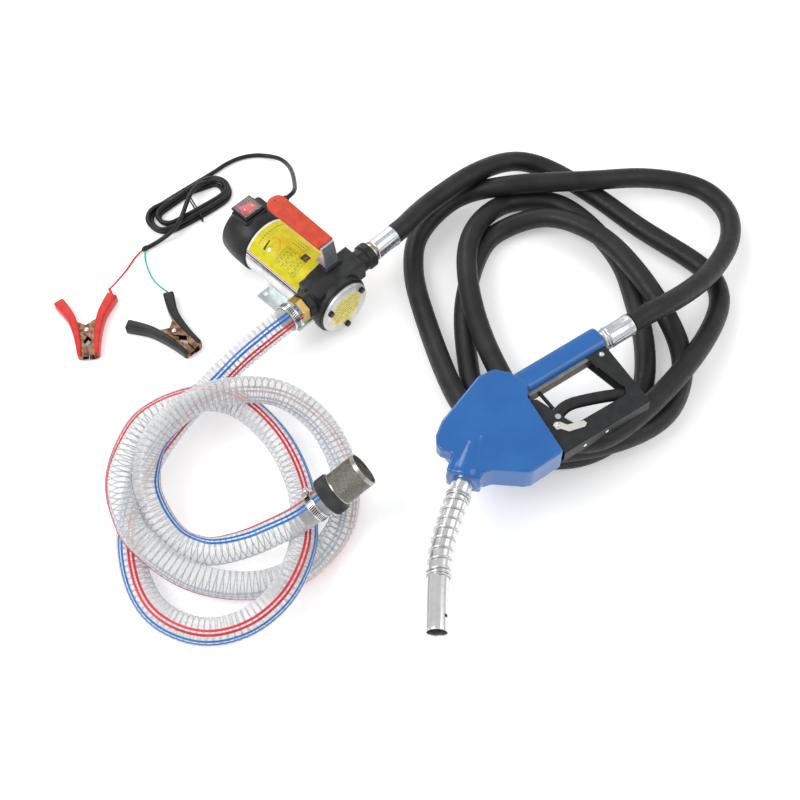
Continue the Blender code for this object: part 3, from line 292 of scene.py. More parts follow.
def make_looks():
    looks = {key: moulded(*facts) for key, facts in MOULDED.items()}
    looks.update({key: plated(*facts) for key, facts in PLATED.items()})
    looks.update({key: patchy(*facts) for key, facts in PATCHY.items()})

    winding = Look("armature_copper", (0.72, 0.30, 0.12), 0.35, 1.0)
    winding.bump(winding.noise(900, 2.0, (1, 0.1, 1)), 0.6, 0.3)
    looks["copper_wire"] = winding

    head = Look("head_paint", (0.022, 0.023, 0.023), 0.4, 0.0, 0.9, **{"Specular IOR Level": 0.3})
    head.mottle(70, (0.016, 0.017, 0.017), (0.034, 0.035, 0.036))
    head.uneven_gloss(260, 0.34, 0.52)
    head.bump(head.noise(420, 5.0), 0.45, 0.35)
    head.bump(head.noise(2200, 3.0), 0.3, 0.1)
    looks["head"] = head

    blue = Look("cover_blue", (0.004, 0.115, 0.40), 0.16, 0.0,
                **{"Coat Weight": 0.5, "Coat Roughness": 0.06})
    blue.mottle(22, (0.004, 0.108, 0.38), (0.010, 0.135, 0.44), 0.3, 0.7)
    blue.uneven_gloss(45, 0.12, 0.26)
    blue.bump(blue.noise(38, 2.0), 0.25, 0.6)
    looks["blue"] = blue

    weave = Look("screen_weave", (0.36, 0.355, 0.32), 0.42, 0.9)
    across, around = (
        weave.node("TexWave", {"Vector": weave.spot, "Scale": 150.0}, bands_direction=way).outputs[1]
        for way in "XY")
    wires = weave.math("MAXIMUM", across, around)
    # The dark tone between the wires is painted shade seen through the mesh's openings; the wires keep
    # their own grey
    weave.feed("Base Color", weave.mix(wires, (0.07, 0.07, 0.06), (0.50, 0.49, 0.45)))
    looks["weave"] = weave.bump(wires, 0.8, 0.5)

    rubber = Look("hose_rubber", (0.017, 0.017, 0.018), 0.46, 0.0, **{"Specular IOR Level": 0.35})
    line = rubber.node("UVMap").outputs[0]
    wrap = rubber.node("Mapping", {"Vector": line, "Scale": (1.0, 0.082, 1.0),
                                   "Rotation": (0, 0, 0.6)}).outputs[0]
    cloth = rubber.node("TexWave", {"Vector": wrap, "Scale": 190.0, "Distortion": 1.2}).outputs[1]
    rubber.mottle(30, (0.012, 0.012, 0.013), (0.022, 0.022, 0.023))
    rubber.uneven_gloss(160, 0.36, 0.56)
    rubber.bump(cloth, 0.25, 0.12)
    looks["rubber"] = rubber.bump(rubber.noise(700, 4.0), 0.3, 0.12)

    window = Look("switch_window", (0.9, 0.92, 0.93), 0.08, 0.0, Alpha=0.10)
    looks["window"] = window.bump(window.noise(300, 2.0), 0.1, 0.1)
    looks["clear"] = clear_hose_look()
    return {name: look.mat for name, look in looks.items()}


def clear_hose_look():
    """Clear hose: its wall is milky, and denser where it is seen at a low angle."""
    look = Look("clear_hose", (0.90, 0.91, 0.92), 0.14)
    facing = look.node("LayerWeight", {"Blend": 0.35}).outputs["Facing"]
    haze = look.span(look.noise(35, 2.0), 0.3, 0.7, 0.34, 0.46)
    look.feed("Alpha", look.math("ADD", haze, look.math("MULTIPLY", facing, 0.26)))
    return look.bump(look.noise(120, 2.0), 0.2, 0.3)


# ---------------- shapes

def prism(outline, low, high):
    """A flat outline in XY, extruded from low to high along Z."""
    bm = bmesh.new()
    face = bm.faces.new([bm.verts.new((x, y, low)) for x, y in outline])
    top = bmesh.ops.extrude_face_region(bm, geom=[face])["geom"]
    lifted = [item for item in top if isinstance(item, bmesh.types.BMVert)]
    bmesh.ops.translate(bm, vec=(0, 0, high - low), verts=lifted)
    bmesh.ops.recalc_face_normals(bm, faces=bm.faces)
    return bm


def rounded(bm, width, segments=4, least_angle=30):
    """Rounds every edge that is sharper than an angle."""
    edges = [e for e in bm.edges if e.calc_face_angle(0) > math.radians(least_angle)]
    bmesh.ops.bevel(bm, geom=edges, offset=width, segments=segments, affect="EDGES",
                    profile=0.5, clamp_overlap=True)
    return bm


def turned(profile, sides, flutes=0, depth=0.0, fluted=()):
    """A profile of (radius, height) turned about Z, closed on the axis or as a
    ring. Points of the profile listed in fluted get grooves around."""
    bm = bmesh.new()
    rings = []
    for k, (radius, height) in enumerate(profile):
        if radius == 0:
            rings.append([bm.verts.new((0, 0, height))] * sides)
            continue
        row = []
        for i in range(sides):
            a = 2 * math.pi * i / sides
            r = radius - depth * (0.5 - 0.5 * math.cos(flutes * a)) if k in fluted else radius
            row.append(bm.verts.new((r * math.cos(a), r * math.sin(a), height)))
        rings.append(row)
    solid = profile[0][0] == 0
    for lower, upper in zip(rings, rings[1:] if solid else rings[1:] + rings[:1]):
        for i in range(sides):
            j = (i + 1) % sides
            corners = list(dict.fromkeys([lower[i], lower[j], upper[j], upper[i]]))
            if len(corners) > 2:
                bm.faces.new(corners)
    bmesh.ops.recalc_face_normals(bm, faces=bm.faces)
    return bm


def loft(loops):
    """A closed skin over a row of loops with as many points each."""
    bm = bmesh.new()
    rows = [[bm.verts.new(p) for p in loop] for loop in loops]
    count = len(rows[0])
    for a, b in zip(rows, rows[1:]):
        for i in range(count):
            j = (i + 1) % count
            bm.faces.new([a[i], a[j], b[j], b[i]])
    bm.faces.new(rows[0])
    bm.faces.new(rows[-1])
    bmesh.ops.recalc_face_normals(bm, faces=bm.faces)
    return bm


def merged(*shapes):
    """Several bmeshes as one, each staying a separate body."""
    whole = bmesh.new()
    for bm in shapes:
        mesh = bpy.data.meshes.new("part")
        bm.to_mesh(mesh)
        bm.free()
        whole.from_mesh(mesh)
        bpy.data.meshes.remove(mesh)
    return whole


def moved(bm, matrix):
    bmesh.ops.transform(bm, matrix=matrix, verts=bm.verts)
    return bm


def shifted(bm, x=0.0, y=0.0, z=0.0):
    return moved(bm, placed(x, y, z))


def ball(radius, squash=1.0):
    bm = bmesh.new()
    bmesh.ops.create_uvsphere(bm, u_segments=20, v_segments=12, radius=radius)
    return moved(bm, Matrix.Diagonal((1, 1, squash, 1)))


def piece(name, bm, look, body=PUMP, at=None, replaces=(), sharp=40):
    """Makes a riding object from a bmesh in millimetres."""
    matrix = Matrix.Scale(MM, 4) @ (at if at else Matrix.Identity(4))
    bmesh.ops.transform(bm, matrix=matrix, verts=bm.verts)
    mesh = bpy.data.meshes.new(name)
    bm.to_mesh(mesh)
    bm.free()
    mesh.materials.append(LOOKS[look])
    mesh.shade_smooth()
    mesh.set_sharp_from_angle(angle=math.radians(sharp))
    obj = bpy.data.objects.new(name, mesh)
    bpy.context.collection.objects.link(obj)
    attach(obj, body)
    if replaces:
        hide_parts(*replaces)
    return obj


def skin(node, bm, look, body=PUMP, at=None, sharp=40):
    """The finished form of a CAD node, which it replaces."""
    return piece(f"{node}_skin", bm, look, body, at, [node], sharp)


def strip_outline(points, widths):
    """The outline of a strip along open points in a plane, with a width for each."""
    left, right = [], []
    path = [Vector(p) for p in points]
    for i, point in enumerate(path):
        before = (point - path[i - 1]).normalized() if i else None
        after = (path[i + 1] - point).normalized() if i < len(path) - 1 else None
        along = ((before or after) + (after or before)).normalized()
        side = Vector((-along.y, along.x))
        reach = widths[i] / 2
        if before and after:
            reach /= max(0.3, math.cos(before.angle(after) / 2))
        left.append(tuple(point + side * reach))
        right.append(tuple(point - side * reach))
    return left + right[::-1]


def smooth_route(points, spacing, passes=30):
    """Even points along a smooth curve through the given points."""
    knots = [Vector(p) for p in points]
    knots = [2 * knots[0] - knots[1]] + knots + [2 * knots[-1] - knots[-2]]
    dense = []
    for i in range(1, len(knots) - 2):
        p = knots[i - 1:i + 3]
        t = [0.0]
        for a, b in zip(p, p[1:]):
            t.append(t[-1] + math.sqrt((b - a).length))
        for k in range(24):
            u = t[1] + (t[2] - t[1]) * k / 24
            a = [p[j].lerp(p[j + 1], (u - t[j]) / (t[j + 1] - t[j])) for j in range(3)]
            b = [a[j].lerp(a[j + 1], (u - t[j]) / (t[j + 2] - t[j])) for j in range(2)]
            dense.append(b[0].lerp(b[1], (u - t[1]) / (t[2] - t[1])))
    dense.append(knots[-2])
    for _ in range(passes):
        middle = [(a + 2 * b + c) / 4 for a, b, c in zip(dense, dense[1:], dense[2:])]
        dense = [dense[0], *middle, dense[-1]]
    reach = [0.0]
    for a, b in zip(dense, dense[1:]):
        reach.append(reach[-1] + (b - a).length)
    count = max(2, round(reach[-1] / spacing))
    even, k = [], 0
    for i in range(count + 1):
        target = reach[-1] * i / count
        while k < len(dense) - 2 and reach[k + 1] < target:
            k += 1
        share = (target - reach[k]) / (reach[k + 1] - reach[k])
        even.append(dense[k].lerp(dense[k + 1], min(1.0, share)))
    return even


def frames_along(points):
    """The level side direction and the upward one at each point."""
    result = []
    for i in range(len(points)):
        a, b = points[max(0, i - 1)], points[min(len(points) - 1, i + 1)]
        along = (b - a).normalized()
        side = Vector((-along.y, along.x, 0)).normalized()
        result.append((side, along.cross(side)))
    return result


def tube(points, radius, sides):
    """A closed tube with a UV map: X is metres along it, Y goes once around."""
    bm = bmesh.new()
    layer = bm.loops.layers.uv.new("along")
    rows = []
    for point, (side, up) in zip(points, frames_along(points)):
        turns = (2 * math.pi * (k / sides - 0.5) for k in range(sides))
        rows.append([bm.verts.new(point + (side * math.cos(a) + up * math.sin(a)) * radius)
                     for a in turns])
    step = (points[1] - points[0]).length * MM
    for i in range(len(points) - 1):
        for k in range(sides):
            j = (k + 1) % sides
            face = bm.faces.new([rows[i][k], rows[i][j], rows[i + 1][j], rows[i + 1][k]])
            spans = [(i, k), (i, k + 1), (i + 1, k + 1), (i + 1, k)]
            for loop, (x, y) in zip(face.loops, spans):
                loop[layer].uv = (x * step, y / sides)
    bm.faces.new(rows[0])
    bm.faces.new(rows[-1])
    bmesh.ops.recalc_face_normals(bm, faces=bm.faces)
    return bm


def stripe(points, radius, middle, half_width):
    """A thin coloured line on a hose. Its middle and half width are shares of a
    turn, counted from the angle that stripe_turn gives."""
    spots = frames_along(points)
    loops = []
    for i, (point, (side, up)) in enumerate(zip(points, spots)):
        start = math.radians(stripe_turn(i / (len(points) - 1)))
        loop = []
        for share, r in ((-1, radius), (0, radius), (1, radius),
                         (1, radius + 0.15), (0, radius + 0.2), (-1, radius + 0.15)):
            a = start + 2 * math.pi * (middle + share * half_width)
            loop.append(point + (side * math.cos(a) + up * math.sin(a)) * r)
        loops.append(loop)
    return loft(loops)


def ring(centre, side, up, across, height, sides):
    """Points around a centre, on a circle or an oval."""
    turns = (2 * math.pi * k / sides for k in range(sides))
    return [centre + side * (across * math.cos(a)) + up * (height * math.sin(a)) for a in turns]


def round_box(flat_a, flat_b, radius):
    """Points around a box with round corners, from half of its flat lengths."""
    points = []
    for k, (a, b) in enumerate([(1, 1), (-1, 1), (-1, -1), (1, -1)]):
        for degrees in range(0, 91, 15):
            turn = math.radians(90 * k + degrees)
            points.append((a * flat_a + radius * math.cos(turn),
                           b * flat_b + radius * math.sin(turn)))
    return points


def coil(centre_at, turns, radius, wire, sides, per_turn):
    """A wire wound along a route: centre_at gives the point and the two side
    directions at a share of the turns."""
    points = []
    steps = round(turns * per_turn)
    for i in range(steps + 1):
        share = i / steps
        centre, side, up = centre_at(share)
        a = 2 * math.pi * turns * share
        points.append(centre + (side * math.cos(a) + up * math.sin(a)) * radius)
    rows = []
    for i, point in enumerate(points):
        along = (points[min(i + 1, steps)] - points[max(i - 1, 0)]).normalized()
        centre = centre_at(i / steps)[0]
        out = (point - centre).normalized()
        other = along.cross(out).normalized()
        out = other.cross(along)
        rows.append(ring(point, out, other, wire / 2, wire / 2, sides))
    return loft(rows)


# ---------------- Booleans

def temporary(bm):
    """An object that holds a bmesh until its modifiers are applied."""
    mesh = bpy.data.meshes.new("temporary")
    bm.to_mesh(mesh)
    bm.free()
    obj = bpy.data.objects.new("temporary", mesh)
    bpy.context.collection.objects.link(obj)
    return obj


def applied(obj, *helpers):
    """The object's shape with its modifiers applied, which ends it and its helpers."""
    graph = bpy.context.evaluated_depsgraph_get()
    result = bmesh.new()
    result.from_mesh(obj.evaluated_get(graph).to_mesh())
    for used in (obj, *helpers):
        bpy.data.objects.remove(used)
    return result


def combined(base, tools, operation):
    """Applies a Boolean of each tool to the base, all as bmeshes."""
    target, *helpers = [temporary(bm) for bm in (base, *tools)]
    for helper in helpers:
        modifier = target.modifiers.new("cut", "BOOLEAN")
        modifier.operation = operation
        modifier.solver = "EXACT"
        modifier.object = helper
    return applied(target, *helpers)


def union(base, *tools):
    return combined(base, tools, "UNION")


def cut(base, *tools):
    return combined(base, tools, "DIFFERENCE")


def melted(bm, voxel, passes):
    """Rounds a solid's edges and fillets its inner corners, as on a moulding."""
    obj = temporary(bm)
    remesh = obj.modifiers.new("remesh", "REMESH")
    remesh.mode = "VOXEL"
    remesh.voxel_size = voxel
    smooth = obj.modifiers.new("smooth", "SMOOTH")
    smooth.factor = 0.5
    smooth.iterations = passes
    return applied(obj)


def box(low, high):
    return prism([(low[0], low[1]), (high[0], low[1]), (high[0], high[1]), (low[0], high[1])],
                 low[2], high[2])


# ---------------- camera, stage

FLOOR_SIZE, FLOOR_HEIGHT = 40, -0.0004
CAMERA_AT, CAMERA_AIM, FOCAL_LENGTH = (-0.639, -0.803, 1.371), (-0.027, -0.199, 0), 60.3
LIGHTS_AIM = (0, -0.15, 0)
# Area lights: place, size and power
LIGHTS = {"key": ((-1.6, 0.6, 2.2), 1.6, 35), "fill": ((1.4, -1.8, 2.0), 1.8, 13),
          "rim": ((0.8, 1.8, 1.6), 1.2, 13)}


def aimed(name, data, at, target):
    """A camera or a light that looks from one point at another, in metres."""
    obj = bpy.data.objects.new(name, data)
    obj.location = at
    obj.rotation_euler = (Vector(target) - Vector(at)).to_track_quat("-Z", "Y").to_euler()
    bpy.context.collection.objects.link(obj)
    return obj


def stage_and_camera():
    bm = bmesh.new()
    bmesh.ops.create_grid(bm, x_segments=1, y_segments=1, size=FLOOR_SIZE)
    mesh = bpy.data.meshes.new("floor")
    bm.to_mesh(mesh)
    bm.free()
    floor = bpy.data.objects.new("floor", mesh)
    floor.location = (0, 0, FLOOR_HEIGHT)
    bpy.context.collection.objects.link(floor)
    floor.data.materials.append(Look(
        "pale_floor", (0.92, 0.92, 0.92), 0.9,
        **{"Emission Color": (1, 1, 1, 1), "Emission Strength": 0.32}).mat)

    lens = bpy.data.cameras.new("camera")
    lens.lens = FOCAL_LENGTH
    lens.sensor_width = 36.0
    bpy.context.scene.camera = aimed("camera", lens, CAMERA_AT, CAMERA_AIM)

    scene = bpy.context.scene
    scene.view_settings.view_transform = "Standard"
    world = bpy.data.worlds.new("studio")
    world.use_nodes = True
    sky = world.node_tree.nodes["Background"]
    sky.inputs["Color"].default_value = (1, 1, 1, 1)
    sky.inputs["Strength"].default_value = 0.62
    scene.world = world
    for name, (at, size, power) in LIGHTS.items():
        light = bpy.data.lights.new(name, "AREA")
        light.size = size
        light.energy = power
        aimed(name, light, at, LIGHTS_AIM)


# ---------------- cords

# The suction hose's helix: its pitch, its wire, and how deep it sits in the wall
HELIX_PITCH, HELIX_WIRE, HELIX_DEPTH = 7.3, 1.1, 0.42
# The hose's pairs of coloured lines: each pair's middle, each line's distance from it
# and its half width, as shares of a turn
LINE_PAIRS = {"blue": 0.0, "red": -0.125}
LINE_OFFSET, LINE_HALF_WIDTH = 0.024, 0.0135
# Where the blue lines lie, as (share of the hose's length, degrees from its left side
# over its top)
STRIPE_TURNS = [(0, 70), (0.06, 70), (0.26, 163), (0.42, 145), (0.47, 160), (0.58, 240),
                (0.69, 280), (0.79, 278), (0.9, 410), (0.96, 447), (1, 452)]


def stripe_turn(share):
    """Where the blue lines lie at a share of the hose's length, in degrees."""
    for (s0, a0), (s1, a1) in zip(STRIPE_TURNS, STRIPE_TURNS[1:]):
        if share <= s1:
            t = (share - s0) / (s1 - s0)
            return a0 + (a1 - a0) * t * t * (3 - 2 * t)
    return STRIPE_TURNS[-1][1]


def length_of(points):
    """A route's length in metres."""
    return sum((b - a).length for a, b in zip(points, points[1:])) * MM


def hank_points():
    """The turns of the hank, from the lead's end to the tail's start."""
    left, right = HANK_CENTRES
    lean = math.atan2(right.y - left.y, right.x - left.x)
    points = []
    for radius, height, out_left, out_right in HANK_TURNS:
        for centre, reach, start in ((left, -out_left, 90), (right, out_right, 270)):
            middle = centre + Vector((math.cos(lean), math.sin(lean))) * reach
            for step in range(7):
                a = lean + math.radians(start + 180 * step / 6)
                points.append(Vector((middle.x + radius * math.cos(a),
                                      middle.y + radius * math.sin(a), height)))
    return points


def delivery_hose():
    points = smooth_route(DELIVERY_ROUTE, 6.0)
    hose = skin("delivery_hose", tube(points, DELIVERY_D / 2, 28), "rubber")


def suction_hose():
    """The clear wall, the helix in it and the coloured lines on it."""
    fine = smooth_route(SUCTION_ROUTE, 4.0)
    spots = frames_along(fine)

    def on_hose(share):
        spot = share * (len(fine) - 1)
        k = min(int(spot), len(fine) - 2)
        side, up = spots[k]
        return fine[k].lerp(fine[k + 1], spot - k), side, up

    hose = skin("suction_hose", tube(fine, SUCTION_D / 2, 40), "clear")
    total = length_of(fine) / MM
    helix = coil(on_hose, total / HELIX_PITCH, SUCTION_D / 2 - HELIX_DEPTH, HELIX_WIRE, 6, 20)
    on_it = [piece("suction_hose_wire", helix, "helix")]
    for colour, middle in LINE_PAIRS.items():
        pair = merged(*(stripe(fine, SUCTION_D / 2 + 0.2, middle + offset, LINE_HALF_WIDTH)
                        for offset in (-LINE_OFFSET, LINE_OFFSET)))
        on_it.append(piece(f"suction_hose_{colour}_lines", pair, f"line_{colour}"))
    on_it += ["strainer_clamp_skin", "strainer_collar_skin", "strainer_mesh_skin"]


def power_cable():
    """One cable through the lead, the hank and the tail, to the fork of its wires."""
    lead = smooth_route(LEAD_ROUTE, 3.0)
    tail = smooth_route(TAIL_ROUTE, 3.0)
    points = smooth_route([*lead[:-4:4], *hank_points(), *tail[::3], tail[-1]], 2.5, 12)
    cable = piece("cable_skin", tube(points, CABLE_D / 2, 16), "cable",
                  replaces=["power_cable", "cable_hank", "cable_tail"])
    fork = shifted(moved(ball(3.7, 0.95), Matrix.Diagonal((1.5, 1, 1, 1))), -95.5, 197.2, 3.7)
    piece("cable_fork", fork, "cable")


def clip_wires():
    """The red wire goes to the red clip, and the green one to the black clip."""
    for colour, route in (("red", RED_WIRE_ROUTE), ("green", GREEN_WIRE_ROUTE)):
        points = smooth_route(route, 1.5)
        wire = skin(f"{colour}_wire", tube(points, WIRE_D / 2, 12), f"wire_{colour}")

    boot = [Vector(p) for p in BOOT_ROUTE]
    piece("red_clip_boot", tube(boot, 1.8, 12), "grip_red")


def hank_tie():
    route = smooth_route(TIE_ROUTE, 2.0, 4)
    piece("hank_tie", tube(route, 0.9, 8), "cable")


# ---------------- motor

def wrapped(low_y, high_y, start, end, depth=0.0, thick=0.04):
    """A thin patch on the motor's shell, between two angles from +X over the top."""
    inner = SHELL_R + 0.02 + depth
    steps = max(2, round(abs(end - start) / 4))
    rows = []
    for i in range(steps + 1):
        a = math.radians(start + (end - start) * i / steps)
        rows.append([Vector((r * math.cos(a), y, AXIS_Z + r * math.sin(a)))
                     for r, y in ((inner, low_y), (inner, high_y), (inner + thick, high_y),
                                  (inner + thick, low_y))])
    return loft(rows)


def mark(low_y, high_y, start, end):
    """A printed mark on the label."""
    return wrapped(low_y, high_y, start, end, 0.1)


def stroke(points, thick):
    """A line on the shell through (angle, y) points."""
    parts = []
    for (a0, y0), (a1, y1) in zip(points, points[1:]):
        for k in range(4):
            a, y = a0 + (a1 - a0) * (k + 0.5) / 4, y0 + (y1 - y0) * (k + 0.5) / 4
            reach_a = max(abs(a1 - a0) / 8, thick * 0.78)
            reach_y = max(abs(y1 - y0) / 8, thick / 2)
            parts.append(mark(y - reach_y, y + reach_y, a - reach_a, a + reach_a))
    return parts


def motor_label():
    """The label round the shell, with generic marks in place of its print."""
    low, high = SHELL_FRONT + 0.3, SHELL_REAR - 0.3
    faint = [mark(-16.5, 18, angle, angle + 0.6) for angle in range(92, 133, 8)]
    faint += [mark(y, y + 0.5, 92, 132.6) for y in (-16.5, 6.5, 17.5)]
    for row in range(5):
        for k in range(4):
            left = -15 + k * 8.2 + (row * 37 % 5) * 0.5
            faint.append(mark(left, left + 5.2 - (row + k) % 3, 95 + 8 * row, 96.6 + 8 * row))
    for row in range(3):
        for k in range(5):
            faint.append(mark(-3 + k * 4.6, 0.4 + k * 4.6, 66 + 7 * row, 67.6 + 7 * row))
    faint += [mark(50.2, 51.8, 56 + 6 * k, 59.4 + 6 * k) for k in range(12)]
    dark = [mark(-15.8, -5.6, 82, 97.6)]
    dark += [mark(40.2 - 0.35 * k, 42.2 - 0.1 * k, 107 + 3 * k, 110.1 + 3 * k) for k in range(7)]
    pale = [wrapped(-12.6, -11.2, 86, 93, 0.15), wrapped(-11.2, -9, 89, 90.6, 0.15),
            mark(31.6, 35.2, 119, 125.4)]
    orange = stroke([(95.2, 38.5), (93.6, 32), (106.6, 23.2), (116.2, 24.9)], 1.3)
    orange += stroke([(104, 40), (99, 41), (96, 38.5)], 1.2) + stroke([(118, 37), (112, 33)], 1.4)
    for part, look, patches in (
            ("white", "white", [wrapped(low, high, -28, 154.6)]),
            ("yellow", "yellow", [wrapped(low, high - 3, -24, 150.2, 0.05)]),
            ("pinstripe", "maroon", [wrapped(low, high, 151.4, 153.0, 0.05)]),
            ("seam", "dark", [wrapped(low, high, 155.2, 157.4, 0.05)]),
            ("faint_marks", "faint", faint), ("dark_marks", "ink", dark),
            ("pale_marks", "shell", pale), ("orange_marks", "orange", orange)):
        piece(f"label_{part}", merged(*patches), look)


def motor():
    shell = turned([(34, SHELL_FRONT), (SHELL_R - 0.4, SHELL_FRONT), (SHELL_R, SHELL_FRONT + 0.4),
                    (SHELL_R, SHELL_REAR), (34, SHELL_REAR)], 120)
    skin("motor_shell", shell, "shell", at=ON_MOTOR)
    motor_label()
    end_cap()
    switch()
    gland()


def end_cap():
    """The round cap with the switch's seat and a shoulder beside it."""
    rear = [(29 + 8 * math.sin(math.radians(d)), 102.5 + 8 * math.cos(math.radians(d)))
            for d in (0, 15, 30, 45, 60, 75)]
    cap = moved(turned([(0, CAP_REAR), *rear, (38.6, 95), (39.5, 86), (39.5, 63.6), (39.0, 63),
                        (37.3, 63), (37.3, 84), (0, 84)], 120), ON_MOTOR)
    seat = rounded(box((-17, 77, 66), (19, 105.5, 86)), 1.6, 3)
    shoulder = rounded(box((14, 79, 58), (31, 109, 79.5)), 6.5, 5)
    well = box((-11.5, 83.5, 60), (13.5, 104.5, 95))
    piece("motor_cap_skin", cut(union(cap, seat, shoulder), well), "cap",
          replaces=["motor_end_cap"])


def switch():
    """The bezel's rim, the rocker, its three marks and the clear cover over it."""
    bezel = cut(rounded(box((-14, 80, 86.3), (16, 108, 89.3)), 0.9, 3),
                box((-10.5, 84.5, 80), (12.5, 103.5, 95)))
    piece("bezel_rim", bezel, "bezel")
    side = [(-10.6, 2.6), (-5, -4), (5, -4), (10.6, 2.6), (10.7, 7.4), (0, 5.8), (-10.7, 7.4)]
    tilt = placed(1, 94, 82) @ spun(8, "Y")
    rocker = rounded(moved(prism(side, -8.6, 8.6), spun(90, "X")), 0.5, 2)
    skin("switch_rocker", rocker, "rocker", "rocker", tilt)
    marks = merged(box((-6.4, -2, 6.8), (-5.6, 2, 7.1)), box((4.6, -1.6, 6.55), (5.2, 1.6, 6.85)),
                   box((6.8, -1.6, 6.85), (7.4, 1.6, 7.15)))
    piece("switch_rocker_marks", marks, "white", "rocker", tilt)
    window = rounded(box((-12.4, 82.2, 89.4), (14.4, 105.8, 91.8)), 1.1, 3)
    piece("switch_window", window, "window")


def gland():
    """The cable's strain relief: a collar and five ribs that taper."""
    ribs = [(0, 40), (7.6, 40), (7.8, 40.6), (7.8, 43), (7.2, 43.6)]
    for k in range(5):
        x, r = 44.4 + k * 3.6, 6.4 - 0.45 * k
        ribs += [(r - 0.9, x), (r, x + 0.5), (r, x + 2.1), (r - 0.9, x + 2.6)]
    ribs += [(3.6, 62.2), (0, 62.2)]
    piece("cable_gland_ribs", turned(ribs, 40), "cap", at=placed(0, 91, 60) @ ALONG_X,
          replaces=["cable_gland"])


# ---------------- pump head

def head():
    cover = turned([(0, COVER_FRONT), (33.6, COVER_FRONT), (34.6, -79.7), (35, -79), (35, -73.7),
                    (0, -73.7)], 120)
    skin("front_cover", cover, "cover", at=ON_MOTOR, sharp=50)
    piece("head_gasket", turned([(35.2, -73.5), (36.6, -73.5), (36.4, -76), (35.2, -76)], 96),
          "screw", at=ON_MOTOR)
    disc = turned([(0, -80.14), (23.6, -80.14), (23.7, -80.02), (0, -80.02)], 96)
    piece("cover_label", disc, "disc", at=ON_MOTOR)
    marks = []
    for row in range(8):
        z = 15.5 - row * 4.2
        half = math.sqrt(20.5 ** 2 - z ** 2)
        x, k = -half, 0
        while x < half - 3:
            width = 3.0 + (row * 3 + k * 5) % 4
            marks.append(box((x, -80.2, AXIS_Z + z), (min(x + width, half), -80.13, AXIS_Z + z + 0.9)))
            x, k = x + width + 1.4, k + 1
    piece("cover_label_marks", merged(*marks), "faint")
    for number, angle in enumerate((30, 150, 270), start=1):
        a = math.radians(angle)
        screw = merged(
            turned([(0, -84), (2.0, -84), (3.5, -84), (3.9, -83.5), (3.9, -80.05), (0, -80.05)], 36),
            turned([(0, -84.05), (2.0, -84.05), (2.0, -83.9), (0, -83.9)], 6))
        at = ON_MOTOR @ placed(29.5 * math.cos(a), -29.5 * math.sin(a), 0)
        piece(f"cover_screw_head_{number}", screw, "screw", at=at,
              replaces=[f"cover_screw_{number}"])
    plug = turned([(0, -3), (7.5, -3), (7.5, 1), (6.8, 1.8), (3.4, 1.8), (3.4, 0.6), (0, 0.6)], 6)
    piece("head_plug", plug, "head", at=placed(-24, -60, 79) @ spun(-28, "Y"))


def ferrule(node, start, length, at):
    """A crimped hose ferrule: plain rims and a fluted, slightly waisted body."""
    profile = [(9, start), (12.4, start), (13.5, start + 1.2), (13.6, start + 3),
               (13.4, start + 6), (13.1, start + 12), (13.0, start + length * 0.6),
               (13.2, start + length - 5), (13.7, start + length - 2.4),
               (13.7, start + length - 0.6), (13.2, start + length), (9, start + length)]
    bm = turned(profile, 144, 18, 0.3, (4, 5, 6, 7))
    skin(node, bm, "zinc", at=at, sharp=60)


def clamp(node, at, direction, angle):
    """A worm clamp: a slotted band, the screw's housing and its hex head."""
    band_r = SUCTION_D / 2 + 0.75
    band = turned([(band_r, 0), (band_r + 0.85, 0.2), (band_r + 1.0, 0.8), (band_r + 1.0, 9.7),
                   (band_r + 0.85, 10.3), (band_r, 10.5)], 96)
    top = band_r + 1.0
    house = rounded(prism([(top - 0.4, -7.6), (top + 5.6, -5.6), (top + 6.2, 0), (top + 5.6, 5.2),
                           (top - 0.4, 6.6)], 0.6, 9.9), 1.4, 3)
    screw = moved(merged(turned([(0, -10.5), (3.2, -10.5), (3.6, -10), (3.6, -6.6), (0, -6.6)], 6),
                         turned([(0, -7), (2.6, -7), (2.6, 11), (0, 11)], 24)),
                  placed(top + 2.6, 0, 5.2) @ ALONG_Y)
    tail = rounded(box((top + 0.1, 6, 1.2), (top + 0.9, 17, 9.2)), 0.3, 2)
    matrix = at @ spun(90 * direction, "Y") @ spun(angle, "Z")
    skin(node, merged(band, house, screw, tail), "clamp", at=matrix)
    # Dark strips on the band: painted shade in its slots
    slots = []
    for k in range(40):
        a = math.radians(25 + k * 7.9)
        slot = box((top, -0.55, 2.2), (top + 0.06, 0.55, 8.2))
        slots.append(moved(slot, Matrix.Rotation(a, 4, "Z") @ Matrix.Rotation(0.12, 4, "X")))
    piece(f"{node}_skin_slot_shade", merged(*slots), "dark", at=matrix)


def fittings():
    """What the two hoses join the pump with."""
    nipple = turned([(9, 68.3), (12.8, 68.3), (13.2, 68.8), (13.2, 71.6), (12.4, 72.2), (9, 72.2)], 72)
    along = PORT @ ALONG_X
    skin("outlet_nipple", nipple, "zinc", at=along)
    washer = turned([(9, 72.3), (13.0, 72.3), (13.3, 73), (13.0, 74.0), (9, 74.0)], 72)
    piece("outlet_ring", washer, "brass", at=along)
    ferrule("outlet_ferrule", 74.3, 35.7, along)
    profile = [(0, -30), (9.5, -30), (10, -29.6)]
    for k in range(2):
        low = -29 + 8 * k
        profile += [(11.6, low), (14.2, low + 6.5), (12, low + 7.2)]
    profile += [(12, -10.4), (0, -10.4)]
    inlet = placed(-47, PORT_Y, PORT_Z) @ ALONG_X
    piece("inlet_barb_rings", turned(profile, 64), "screw", at=inlet)
    clamp("inlet_clamp", placed(-60.5, PORT_Y, PORT_Z), -1, 140)


HANDLE_X = 14.0


